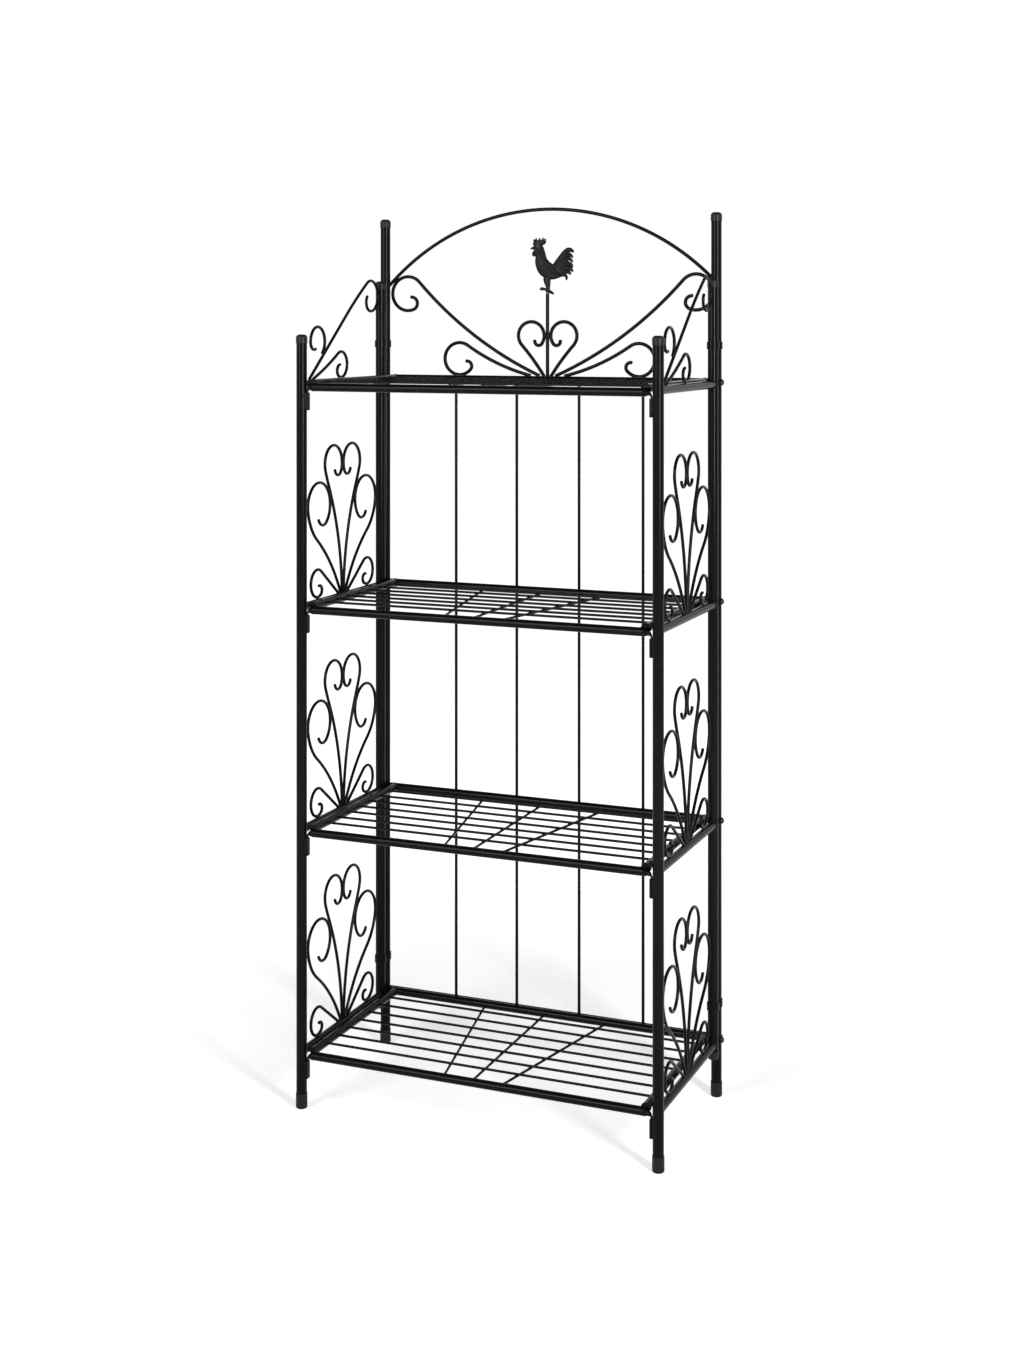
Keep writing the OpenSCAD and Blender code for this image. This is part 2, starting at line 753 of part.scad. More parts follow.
module shelf_wires(tier) {
    spacing = (back_y - front_y) / (wire_count + 1);
    color(STEEL) translate([0, 0, shelf_z(tier)]) {
        for (i = [1 : wire_count])
            translate([0, front_y + i * spacing, wire_rise])
                bar_x(2 * (side_rail_x - rail_r - weld_gap), wire_d);
        for (side = [-1, 0, 1])
            cross_wire(side * splay_front, side * splay_rear);
    }
}

back_post_left();
back_post_right();
back_post_caps();
back_post_feet();
crossbars();
back_rods();
crest_arch();
crest_large_scrolls();
crest_small_scrolls();
crest_heart();
rooster_stem();
rooster();
front_leg_left();
front_leg_right();
front_leg_caps();
front_leg_feet();
side_post_left();
side_post_right();
side_post_caps();
side_rails_left();
side_rails_right();
mirror([1, 0, 0]) side_fan(1);  // side_fan_left_1
mirror([1, 0, 0]) side_fan(2);  // side_fan_left_2
mirror([1, 0, 0]) side_fan(3);  // side_fan_left_3
side_fan(1);  // side_fan_right_1
side_fan(2);  // side_fan_right_2
side_fan(3);  // side_fan_right_3
mirror([1, 0, 0]) side_crest();  // side_crest_left
side_crest();  // side_crest_right
shelf_pockets();
post_links();
pivot_bolts();
pivot_washers();
shelf_front_rail(1);  // shelf_1_front_rail
shelf_hooks(1);  // shelf_1_hooks
shelf_rear_rail(1);  // shelf_1_rear_rail
shelf_sleeves(1);  // shelf_1_sleeves
shelf_side_rails(1);  // shelf_1_side_rails
shelf_wires(1);  // shelf_1_wires
shelf_front_rail(2);  // shelf_2_front_rail
shelf_hooks(2);  // shelf_2_hooks
shelf_rear_rail(2);  // shelf_2_rear_rail
shelf_sleeves(2);  // shelf_2_sleeves
shelf_side_rails(2);  // shelf_2_side_rails
shelf_wires(2);  // shelf_2_wires
shelf_front_rail(3);  // shelf_3_front_rail
shelf_hooks(3);  // shelf_3_hooks
shelf_rear_rail(3);  // shelf_3_rear_rail
shelf_sleeves(3);  // shelf_3_sleeves
shelf_side_rails(3);  // shelf_3_side_rails
shelf_wires(3);  // shelf_3_wires
shelf_front_rail(4);  // shelf_4_front_rail
shelf_hooks(4);  // shelf_4_hooks
shelf_rear_rail(4);  // shelf_4_rear_rail
shelf_sleeves(4);  // shelf_4_sleeves
shelf_side_rails(4);  // shelf_4_side_rails
shelf_wires(4);  // shelf_4_wires
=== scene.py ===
# %% [markdown]
# # A folding plant stand of welded black steel
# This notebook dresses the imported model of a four-shelf plant stand. The tubes, rods and shelves come ready
# from the construction model. Here they get their powder coat, and the small things that a welder and a
# caster add: weld beads, rounded rod tips, flattened hooks and the relief of the rooster.

# %% Load the frame
import json
import bpy
import numpy as np
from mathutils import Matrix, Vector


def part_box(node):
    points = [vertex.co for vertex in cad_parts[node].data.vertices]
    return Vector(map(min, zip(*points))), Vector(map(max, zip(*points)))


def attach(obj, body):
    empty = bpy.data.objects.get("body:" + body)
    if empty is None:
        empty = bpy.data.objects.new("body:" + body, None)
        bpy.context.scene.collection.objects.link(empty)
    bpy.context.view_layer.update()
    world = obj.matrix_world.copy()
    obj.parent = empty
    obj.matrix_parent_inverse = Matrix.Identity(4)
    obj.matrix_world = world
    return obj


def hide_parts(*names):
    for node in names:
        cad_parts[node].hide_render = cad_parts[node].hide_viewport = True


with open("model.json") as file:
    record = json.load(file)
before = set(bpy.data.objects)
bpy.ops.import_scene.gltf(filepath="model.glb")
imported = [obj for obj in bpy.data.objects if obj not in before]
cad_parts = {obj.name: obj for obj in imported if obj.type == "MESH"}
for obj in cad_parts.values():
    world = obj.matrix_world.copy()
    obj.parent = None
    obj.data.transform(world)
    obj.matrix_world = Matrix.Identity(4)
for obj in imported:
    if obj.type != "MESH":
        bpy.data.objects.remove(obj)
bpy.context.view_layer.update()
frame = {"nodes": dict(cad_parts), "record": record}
nodes = frame["nodes"]

# %% [markdown]
# ## The camera
# The photograph keeps every upright of the stand parallel, so the camera was level and its frame was shifted
# down. A level camera is described by how far it is turned round the stand, its distance, its height and the
# row of the picture on which the horizon lies. The lens follows from the focal length in pixels, because the
# long side of the picture stands for 36 mm of film.

# %% Place the camera
PICTURE = (1024, 1365)
TURN = np.radians(22.64)
DISTANCE, SIDE_STEP, EYE_HEIGHT = 3.0718, 0.0022, 1.2577
FOCAL_PIXELS, HORIZON_ROW = 1908.5, 320.2

right = np.array([np.cos(TURN), np.sin(TURN), 0.0])
ahead = np.array([-np.sin(TURN), np.cos(TURN), 0.0])
middle = np.array([0.0, -0.00355, 0.0])
eye = middle + SIDE_STEP * right - DISTANCE * ahead + [0.0, 0.0, EYE_HEIGHT]

lens = bpy.data.cameras.new("photo_camera")
lens.sensor_fit = "VERTICAL"
lens.sensor_height = 36.0
lens.lens = 36.0 * FOCAL_PIXELS / PICTURE[1]
lens.shift_y = (HORIZON_ROW - PICTURE[1] / 2) / PICTURE[1]


def stood(name, data):
    """An object with this data, linked to the scene."""
    made = bpy.data.objects.new(name, data)
    bpy.context.scene.collection.objects.link(made)
    return made


camera = stood("photo_camera", lens)
camera.location = eye
camera.rotation_euler = (np.pi / 2, 0.0, TURN)
bpy.context.scene.camera = camera
print("lens %.1f mm, shift %.3f, eye %s" % (lens.lens, lens.shift_y, np.round(eye, 3)))

# %% [markdown]
# ## Shader maths in plain Python
# A node tree is easier to read as a formula. The small class below wraps one socket, so that `grain * 0.2 + 0.3`
# adds the Math nodes by itself. Every other node comes from one method that takes the node's type, its
# settings and what goes into its sockets. The world has a node tree too, so it shares these methods.

# %% Socket and paint classes
class Socket:
    """One output socket of a node. An expression on it adds a Math node and gives that node's output."""

    def __init__(self, nodes, output):
        self.nodes, self.output = nodes, output

    def maths(self, operation, other):
        return self.nodes.node("ShaderNodeMath", {"operation": operation}, self, other)

    def __add__(self, other):
        return self.maths("ADD", other)

    def __mul__(self, other):
        return self.maths("MULTIPLY", other)


class Nodes:
    """The nodes of one tree, of a material or of the world."""

    def __init__(self, tree):
        self.tree = tree

    def node(self, kind, settings=None, *values, output=0, **named):
        """Adds a node of this kind, with its settings first and then its sockets, by order or by name."""
        made = self.tree.nodes.new(kind)
        for key, value in (settings or {}).items():
            setattr(made, key, value)
        for index, value in enumerate(values):
            self.feed(made.inputs[index], value)
        for key, value in named.items():
            self.feed(next(s for s in made.inputs if s.enabled and s.name == key.replace("_", " ")), value)
        return Socket(self, made.outputs[output])

    def feed(self, socket, value):
        """Links a socket to another one, or sets its value."""
        if isinstance(value, Socket):
            self.tree.links.new(value.output, socket)
        else:
            socket.default_value = value

    def ramp(self, value, low, high):
        """0 below low, 1 above high, smooth between them."""
        return self.node("ShaderNodeMapRange", {"interpolation_type": "SMOOTHSTEP"}, value, low, high)

    def blend(self, mask, under, over):
        """One colour under another, mixed by a mask."""
        return self.node("ShaderNodeMix", {"data_type": "RGBA"}, output=2, Factor=mask, A=under, B=over)

    def up(self, vector):
        """The Z part of a vector."""
        return self.node("ShaderNodeSeparateXYZ", None, vector, output="Z")

    def seen(self):
        """1 for a ray that comes from the camera, a reflection or glass, else 0."""
        camera_ray, glossy_ray, through_ray = (self.node("ShaderNodeLightPath", output=ray) for ray in (
            "Is Camera Ray", "Is Glossy Ray", "Is Transmission Ray"))
        return camera_ray.maths("MAXIMUM", glossy_ray.maths("MAXIMUM", through_ray))


class Paint(Nodes):
    """A material and its shader. Values that are the same all over are set straight on the shader."""

    def __init__(self, name, **fixed):
        self.material = bpy.data.materials.new(name)
        self.material.use_nodes = True
        super().__init__(self.material.node_tree)
        self.shader = self.tree.nodes["Principled BSDF"]
        for socket, value in fixed.items():
            self.shader.inputs[socket.replace("_", " ")].default_value = value

    def place(self):
        """The point of the piece, in metres. Every piece keeps its place in its mesh, so this doesn't slide."""
        return self.node("ShaderNodeTexCoord", output="Object")

    def grain(self, size, detail=3.0, rough=0.5):
        """Soft noise whose spots are about this many metres across, from 0 to 1."""
        return self.node("ShaderNodeTexNoise", None, Vector=self.place(), Scale=1.0 / size, Detail=detail,
                         Roughness=rough)

    def wear(self, colour=None, rough=None, height=None, strength=0.2, depth=0.0002):
        """Feeds the shader: a colour, a roughness and a bump made from a height."""
        if colour is not None:
            self.feed(self.shader.inputs["Base Color"], colour)
        if rough is not None:
            self.feed(self.shader.inputs["Roughness"], rough)
        if height is not None:
            bump = self.node("ShaderNodeBump", None, Strength=strength, Distance=depth, Height=height)
            self.feed(self.shader.inputs["Normal"], bump)
        return self.material


print("shader classes ready")

# %% [markdown]
# ## Floor, world and lamps
# The photograph is a cut-out on plain white. Floor and world show white to the camera, in reflections and through
# glass, but they send the steel only the light that falls on them, so the background is plain white on every side
# and the shadow under the stand stays grey. To all other rays the world is a plain grey room, and its ceiling is
# dark to every ray, which keeps black paint black. A round tube shows its lamps as long streaks: a broad soft
# lamp left of the camera draws the wide dim streak on the posts and the one along the shelf rails, and a
# narrower one on the right draws the bright streak of the posts.

# %% Build the studio
def grey(level):
    """An opaque grey."""
    return (level, level, level, 1)


def show_world(level, ceiling):
    """A grey room. Going up, its colour falls smoothly from level to the ceiling's grey, and for rays that are
    seen it falls from white, a little higher up."""
    world = bpy.data.worlds.new("studio")
    world.use_nodes = True
    room = Nodes(world.node_tree)
    height = room.up(room.node("ShaderNodeTexCoord", output="Generated"))
    plain = room.ramp(height, 0.2, 0.6) * (ceiling - level) + level
    white = room.ramp(height, 0.5, 0.8) * (ceiling - 1) + 1
    room.feed(room.tree.nodes["Background"].inputs["Color"], room.blend(room.seen(), plain, white))
    bpy.context.scene.world = world


def lamp(name, place, target, size, power):
    """A rectangular area lamp of this size in metres that faces a target point."""
    light = bpy.data.lights.new(name, "AREA")
    light.shape, light.size, light.size_y, light.energy = "RECTANGLE", *size, power
    made = stood(name, light)
    made.location = place
    x, y, z = np.subtract(target, place)
    made.rotation_euler = (np.arctan2(np.hypot(x, y), -z), 0.0, np.arctan2(-x, y))


def around(count):
    """Angles round a full circle, in radians."""
    return np.arange(count) * 2 * np.pi / count


def join(*parts):
    """Joins numbers or arrays, spread to one shape, into points or faces."""
    return np.stack(np.broadcast_arrays(*parts), -1)


def show_floor(near_white):
    """A wide disc with rings of points (r cos t, r sin t) and a plain face in the middle. From 0.4 m to 1.6 m away
    from its centre, its own white for rays that are seen rises from near_white to 1."""
    spokes = 96
    column = np.arange(spokes)
    beside = (column + 1) % spokes
    t = around(spokes)
    r = np.array([1.2, 3.0, 14.0])[:, None]
    points = join(r * np.cos(t), r * np.sin(t), 0.0)
    bands = [join(column, column + spokes, beside + spokes, beside) + start for start in (0, spokes)]
    mesh = bpy.data.meshes.new("studio_floor")
    mesh.from_pydata(points.reshape(-1, 3).tolist(), [], [column.tolist()] + np.concatenate(bands).tolist())
    mesh.shade_smooth()
    made = stood("studio_floor", mesh)
    paint = Paint("studio_floor", Specular_IOR_Level=0.0, Roughness=1.0, Emission_Strength=1.0)
    away = paint.node("ShaderNodeVectorMath", {"operation": "LENGTH"}, paint.place(), output=1)
    glow = paint.blend(paint.ramp(away, 0.4, 1.6), grey(near_white), grey(1))
    paint.feed(paint.shader.inputs["Emission Color"], paint.blend(paint.seen(), grey(0), glow))
    made.data.materials.append(paint.wear(paint.blend(paint.grain(0.4), grey(0.79), grey(0.81))))


show_world(level=0.35, ceiling=0.05)
show_floor(near_white=0.6)
lamp("left_soft", place=(-1.3, -3.3, 2.0), target=(0.0, 0.0, 0.8), size=(1.4, 2.0), power=76)
lamp("right_soft", place=(2.35, -1.75, 1.5), target=(0.0, 0.0, 0.9), size=(0.45, 1.6), power=82)
bpy.context.scene.view_settings.view_transform = "Standard"
print("studio ready")

# %% [markdown]
# ## Powder coat
# Powder is sprayed on dry and baked, so it flows into a thin glossy skin with the fine swell of orange peel.
# It has no brush marks. What gives it life is a slow change of gloss, a few dull rub marks, a breath of dust
# on what faces up, and a rougher skin where the welder worked. All of them come from noise in metres.

# %% Powder coat on tube, rod and bracket
def tinted(tone, *shares):
    """A near-black colour: tone times each channel's share."""
    return (*(tone * share for share in shares), 1)


def powder_coat(name, tone, gloss, peel=0.0014, dust=0.012):
    """Black powder coat: tone is its grey, gloss its roughness, peel the size of the orange peel in metres."""
    paint = Paint(name, Specular_IOR_Level=0.07)
    cloud = paint.grain(0.06)
    rubbed = paint.ramp(paint.grain(0.011, detail=6.0, rough=0.62), 0.63, 0.74)
    upward = paint.up(paint.node("ShaderNodeNewGeometry", output="Normal"))
    dusty = paint.ramp(upward, 0.55, 1.0) * paint.ramp(paint.grain(0.02, detail=5.0), 0.3, 0.75) * dust
    black = paint.blend(cloud, tinted(tone, 0.75, 0.75, 0.78), tinted(tone, 1.3, 1.28, 1.26))
    worn = paint.blend(rubbed * 0.6, black, tinted(tone, 3.0, 2.9, 2.8))
    colour = paint.blend(dusty, worn, (0.3, 0.29, 0.27, 1))
    rough = cloud * 0.08 + rubbed * 0.16 + dusty * 6.0 + (gloss - 0.04)
    swell = paint.grain(peel, detail=1.0) + paint.grain(peel * 0.3, detail=0.0) * 0.25
    return paint.wear(colour, rough, swell, strength=0.04, depth=0.0003)


tube_coat = powder_coat("powder_coat_tube", 0.0030, 0.17)
rod_coat = powder_coat("powder_coat_rod", 0.0027, 0.20, peel=0.0011)
wire_coat = powder_coat("powder_coat_wire", 0.0027, 0.22, peel=0.0009, dust=0.016)
bracket_coat = powder_coat("powder_coat_bracket", 0.0032, 0.24, peel=0.0012)
print("powder coats ready")

# %% [markdown]
# ## Moulded plastic, coated bolts and the casting
# The caps and feet are soft black plastic from a spark-eroded mould, which leaves an even, sandy grain. The
# bolt heads are burnished steel under a thin coat. The rooster is cast in sand and painted, so its skin is
# coarser than sheet or tube.

# %% Plastic, bolt and casting finishes
def moulded_plastic(name, tone, rough):
    """Black plastic with a spark-eroded grain and rubbed edges."""
    paint = Paint(name, Specular_IOR_Level=0.15)
    cloud = paint.grain(0.009, detail=4.0)
    fine = paint.grain(0.00045, detail=2.0)
    colour = paint.blend(cloud, tinted(tone, 0.8, 0.8, 0.82), tinted(tone, 1.3, 1.3, 1.3))
    return paint.wear(colour, cloud * 0.12 + fine * 0.08 + (rough - 0.1), fine, strength=0.25, depth=0.0001)


def burnished_steel(name, tone):
    """Blackened bolt steel: half bare metal that shows through where a thumb or a key has rubbed it."""
    paint = Paint(name, Specular_IOR_Level=0.3)
    rubbed = paint.ramp(paint.grain(0.003, detail=6.0, rough=0.65), 0.5, 0.72)
    scratch = paint.grain(0.0006, detail=4.0)
    colour = paint.blend(rubbed, tinted(tone, 1, 1, 1.05), tinted(tone, 5, 4.9, 4.8))
    paint.feed(paint.shader.inputs["Metallic"], rubbed * 0.6 + 0.2)
    return paint.wear(colour, scratch * 0.1 + rubbed * 0.06 + 0.24, scratch, strength=0.1, depth=0.0001)


def painted_casting(name, tone):
    """Painted sand casting: coarse pits under a satin coat."""
    paint = Paint(name, Specular_IOR_Level=0.12)
    pits = paint.grain(0.0011, detail=5.0, rough=0.6)
    cloud = paint.grain(0.012)
    rubbed = paint.ramp(paint.grain(0.004, detail=6.0, rough=0.62), 0.58, 0.72)
    black = paint.blend(cloud, tinted(tone, 0.7, 0.7, 0.7), tinted(tone, 1.5, 1.46, 1.4))
    colour = paint.blend(rubbed * 0.5, black, tinted(tone, 3.2, 3.1, 3.0))
    return paint.wear(colour, cloud * 0.1 + pits * 0.08 + 0.24, pits, strength=0.3, depth=0.00025)


cap_plastic = moulded_plastic("moulded_cap", 0.010, 0.40)
foot_plastic = moulded_plastic("moulded_foot", 0.007, 0.50)
washer_nylon = moulded_plastic("moulded_washer", 0.012, 0.5)
bolt_steel = burnished_steel("burnished_bolt", 0.007)
casting_paint = painted_casting("painted_casting", 0.004)

finish_of_slot = {
    "posts": tube_coat, "panel_rails": tube_coat, "shelf_tubes": tube_coat, "scroll_rods": rod_coat,
    "back_bars": rod_coat, "shelf_wires": wire_coat, "brackets": bracket_coat, "bolts": bolt_steel,
    "washers": washer_nylon, "caps": cap_plastic, "feet": foot_plastic, "casting": casting_paint,
}
slot_of_node = {part["node"]: part["material_slot"] for part in frame["record"]["subparts"]}
for name, solid in nodes.items():
    solid.data.materials.clear()
    solid.data.materials.append(finish_of_slot[slot_of_node[name]])
print("finishes on", len(nodes), "solids:", sorted(set(slot_of_node.values())))

# %% [markdown]
# ## From numpy arrays to closed shells
# Every new piece is computed as a grid of points: rows along a path, columns round it. A whole batch of equal
# shapes, such as all the beads of a shelf, is one array with one more axis. Writing the points into a mesh is
# then always the same job, so it is done once here. Lengths in the cells below are in millimetres, because that
# is how a workshop drawing gives them, and the mesh gets metres.

# %% Closed shells and pieces
def unit(vectors):
    """Vectors of length one: each vector over its own length."""
    return vectors / np.linalg.norm(vectors, axis=-1, keepdims=True)


def off(axis, vectors):
    """The part of the vectors square to a unit axis: v - (v . axis) axis."""
    return vectors - (vectors * axis).sum(-1, keepdims=True) * axis


def shell_faces(points, ring):
    """Vertices and faces of n closed shells, from points of shape (n, rows, columns, 3). The columns always
    close. The rows close too on a ring; otherwise a fan closes each end. The sum of (a x b) . c over the
    triangles gives six times a shell's volume, and where it is negative its faces are turned over."""
    count, rows, columns = points.shape[:3]
    row = np.arange(rows if ring else rows - 1)[:, None]
    column = np.arange(columns)[None, :]
    above, beside = (row + 1) % rows, (column + 1) % columns
    quads = join(row * columns + column, row * columns + beside,
                 above * columns + beside, above * columns + column).reshape(-1, 4)
    flat = points.reshape(count, -1, 3)
    fans = np.zeros((0, 3), int)
    if not ring:
        flat = np.concatenate([flat, points[:, 0].mean(1)[:, None], points[:, -1].mean(1)[:, None]], 1)
        first, last, pole = column[0], (rows - 1) * columns + column[0], rows * columns
        fans = np.concatenate([join(beside[0], first, pole), join(last, np.roll(last, -1), pole + 1)])
    split = np.concatenate([quads[:, [0, 1, 2]], quads[:, [0, 2, 3]], fans])
    a, b, c = (flat[:, split[:, k]] - flat.mean(1)[:, None] for k in range(3))
    inside_out = (np.cross(a, b) * c).sum((1, 2)) < 0
    start = (np.arange(count) * flat.shape[1])[:, None, None]
    faces = []
    for kind in (quads, fans):
        placed = kind[None] + start
        placed = np.where(inside_out[:, None, None], placed[..., ::-1], placed)
        faces += placed.reshape(-1, kind.shape[1]).tolist()
    return flat.reshape(-1, 3), faces


def piece(name, groups, body="frame", slot="brackets", replaces=(), sharp=None):
    """One object made of groups of shells in millimetres. A group is an array of points, or (points, True) for
    rings. It rides on a body, wears its slot's finish and may stand for nodes of the construction model."""
    corners, faces, start = [], [], 0
    for group in groups:
        vertices, group_faces = shell_faces(*(group if isinstance(group, tuple) else (group, False)))
        faces += [[corner + start for corner in face] for face in group_faces]
        corners.append(vertices)
        start += len(vertices)
    mesh = bpy.data.meshes.new(name)
    mesh.from_pydata((np.concatenate(corners) * 0.001).tolist(), [], faces)
    mesh.shade_smooth()
    if sharp:
        mesh.set_sharp_from_angle(angle=np.radians(sharp))
    made = stood(name, mesh)
    made.data.materials.append(finish_of_slot[slot])
    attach(made, body)
    if replaces:
        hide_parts(*replaces)
    print("%s: %d faces on %s" % (name, len(faces), body))


print("pieces go from millimetres to metres")

# %% [markdown]
# ## Sweeps, blobs and bent rods
# Three shapes cover most of a welded frame. A sweep carries a small section along a path, which makes beads,
# straps and feathers. A blob is an ellipsoid, which is what a short tack of weld looks like once it has frozen.
# A bent rod's middle line is a chain of circular arcs, because a rod is bent round one roller after another.

# %% Sweep, blob and bent rod
def ellipse(columns, wide, high):
    """Points of an ellipse: (wide cos t, high sin t)."""
    t = around(columns)
    return join(wide * np.cos(t), high * np.sin(t))


def sweep(path, section, up, closed=False):
    """Carries a section along paths of shape (n, rows, 3). With the path's direction T, U is the part of up that
    is square to T, and V = T x U. A point is path + u U + v V, where (u, v) are the section's numbers."""
    step = np.roll(path, -1, 1) - np.roll(path, 1, 1) if closed else np.gradient(path, axis=1)
    T = unit(step)
    U = unit(off(T, up))
    V = np.cross(T, U)
    return path[:, :, None] + section[..., :1] * U[:, :, None] + section[..., 1:] * V[:, :, None]


def square_to(axis):
    """Two unit vectors square to each axis and to each other."""
    helper = np.where(np.abs(axis[..., 2:]) > 0.8, [1.0, 0.0, 0.0], [0.0, 0.0, 1.0])
    first = unit(np.cross(axis, helper))
    return first, np.cross(axis, first)


def blobs(centres, along, size, across=None, rows=7, columns=12, span=(-1.35, 1.35)):
    """Ellipsoids: centre + a sin f A + cos f (b cos t B + c sin t C), for half sizes (a, b, c) and f over the
    span, which reaches from pole to pole or, for a dome, from the rim to the top."""
    centres = np.atleast_2d(centres).astype(float)
    along = np.broadcast_to(unit(np.array(along, float)), centres.shape)
    if across is None:
        B, C = square_to(along)
    else:
        B = unit(off(along, across))
        C = np.cross(along, B)
    f = np.linspace(*span, rows)[None, :, None, None]
    t = around(columns)[None, None, :, None]
    A, B, C = (v[:, None, None, :] for v in (along, B, C))
    return (centres[:, None, None, :] + size[0] * np.sin(f) * A
            + np.cos(f) * (size[1] * np.cos(t) * B + size[2] * np.sin(t) * C))


def bent_line(start, heading, steps):
    """Middle line of a rod bent in a plane. Step (r, sweep) turns the heading h by sweep along a circle:
    x + s r (sin(h + t) - sin h), y - s r (cos(h + t) - cos h), with s the side. Radius 0 is a straight run."""
    x, y, h = start[0], start[1], np.radians(heading)
    line = [np.array([[x, y]])]
    for r, turn in steps:
        if r == 0:
            t = np.linspace(0, turn, 13)[1:]
            line.append(join(x + t * np.cos(h), y + t * np.sin(h)))
        else:
            t, side = np.linspace(0, np.radians(turn), max(9, int(abs(turn) / 3)))[1:], np.sign(turn)
            line.append(join(x + side * r * (np.sin(h + t) - np.sin(h)), y - side * r * (np.cos(h + t) - np.cos(h))))
            h += np.radians(turn)
        x, y = line[-1][-1]
    return np.concatenate(line)


print("shape helpers ready")

# %% [markdown]
# ## Where the members meet
# The weld beads need to know where one round member runs into another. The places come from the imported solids
# wherever a box tells them, and the bent rods are drawn again as middle lines from the same bends as in the
# construction model. A rod of a fan is given in the upright plane of its side panel, a rod of the crest in the
# upright plane of the back.

# %% Sizes of the members, in millimetres
def middle_of(node):
    """Middle of a solid's box, in millimetres."""
    return np.mean(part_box(node), 0) * 1000


HALF_W, BACK_Y = middle_of("back_post_right")[:2]
FRONT_Y, SIDE_Y = middle_of("front_leg_right")[1], middle_of("side_post_right")[1]
BAR_Y, CREST_Y = middle_of("crossbars")[1], middle_of("crest_arch")[1]
SHELF_Z = np.array([middle_of("shelf_%d_rear_rail" % k)[2] for k in range(1, 5)])
POST_R, RAIL_R, BAR_R, CREST_R, FAN_R, WIRE_R, ROD_R = 8.5, 6.7, 4.0, 3.0, 2.5, 2.0, 2.5
SKIN, CUP_WALL = 0.05, 0.7
PANEL_DROP, FRONT_DROP = 3.0, 6.0
SIDE_RAIL_X = HALF_W - 19.5
SIDES = np.array([-1.0, 1.0])
print("posts at x +-%.1f, y %.2f, %.2f and %.2f; shelves at" % (HALF_W, FRONT_Y, SIDE_Y, BACK_Y), SHELF_Z)

# %% [markdown]
# ## Middle lines of the bent rods
# The stand has 49 bent rods of only ten kinds. Each kind is a few numbers: where it springs, its heading in
# degrees, and its bends, each a radius and a sweep. One length of nearly every kind follows from how far the rod
# must reach, as on the real bench, where a roller is set so that a curl just touches its neighbour.

# %% Scrolls and heart of the crest
def sprung(base, x, heading, *steps):
    """Middle line of a rod that stands at x. Its base gives the height of a level top, which the rod's lowest edge
    just touches, and the rod's radius."""
    top, radius = base
    return bent_line((x, top + radius * np.cos(np.radians(heading))), heading, steps)


def bends(wave, heading, *sweeps):
    """Sine or cosine of the heading at the start and after each bend."""
    return wave(np.radians(np.cumsum([heading, *sweeps])))


crest_top = BAR_R + SKIN
ON_BAR, ON_RAIL = (crest_top, CREST_R), (RAIL_R, FAN_R)
LARGE_X, LARGE_HEADING, LARGE_SWEEP, LARGE_CURL = 14.5, 23.5, 23.9, 29.5
sine_h, sine_e = bends(np.sin, LARGE_HEADING, LARGE_SWEEP)
large_rise = (HALF_W - POST_R - LARGE_X - LARGE_CURL * (1 + sine_e)) / (sine_e - sine_h)
large = sprung(ON_BAR, LARGE_X, LARGE_HEADING, (large_rise, LARGE_SWEEP), (LARGE_CURL, -250), (11, -163))

SMALL_X, SMALL_HEADING, SMALL_RISE, SMALL_SWEEP = 31, 13.3, 358, 20.4
cos_h, cos_e = bends(np.cos, SMALL_HEADING, SMALL_SWEEP)
small_curl = (CREST_R * (cos_h - 1) - SKIN + SMALL_RISE * (cos_h - cos_e)) / (1 + cos_e)
small = sprung(ON_BAR, SMALL_X, SMALL_HEADING, (SMALL_RISE, SMALL_SWEEP), (small_curl, -262), (8.5, -143))

HEART_HEADING, HEART_SWING, HEART_SWEEP, HEART_LOBE = 57.2, 396, -9.7, 23.5
sine_h, sine_e = bends(np.sin, HEART_HEADING, HEART_SWEEP)
heart_x = 2 * CREST_R + SKIN + HEART_LOBE * (1 + sine_e) - HEART_SWING * (sine_h - sine_e)
heart = sprung(ON_BAR, heart_x, HEART_HEADING, (HEART_SWING, HEART_SWEEP), (HEART_LOBE, 258), (7, 157))

print("scroll radii: large %.1f, small curl %.2f; heart at %.2f" % (large_rise, small_curl, heart_x))

# %% [markdown]
# ## The arch
# The arch is one bend from post to post. Its radius follows from the height of its crown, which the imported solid
# tells, and from the large curls, whose outer edges it just touches.

# %% Arch of the crest
cos_h, cos_e = bends(np.cos, LARGE_HEADING, LARGE_SWEEP)
curl_x = HALF_W - POST_R - LARGE_CURL
curl_z = crest_top + CREST_R * cos_h + large_rise * (cos_h - cos_e) - LARGE_CURL * cos_e
arch_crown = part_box("crest_arch")[1][2] * 1000 - CREST_R - SHELF_Z[3]
near = arch_crown - LARGE_CURL - 2 * CREST_R - SKIN
arch_z = (near ** 2 - curl_x ** 2 - curl_z ** 2) / (2 * (near - curl_z))
arch_r = arch_crown - arch_z
angle = np.linspace(-1, 1, 121) * np.arcsin(HALF_W / arch_r)
arch = join(arch_r * np.sin(angle), arch_z + arch_r * np.cos(angle))

print("arch radius %.1f" % arch_r)

# %% [markdown]
# ## Rods of a fan
# A fan has three pairs of rods, a tall pair, a middle pair and a low pair, that spring from the middle of a rail.
# The middle pair fills the space between the posts, and the two tall curls meet at the middle line.

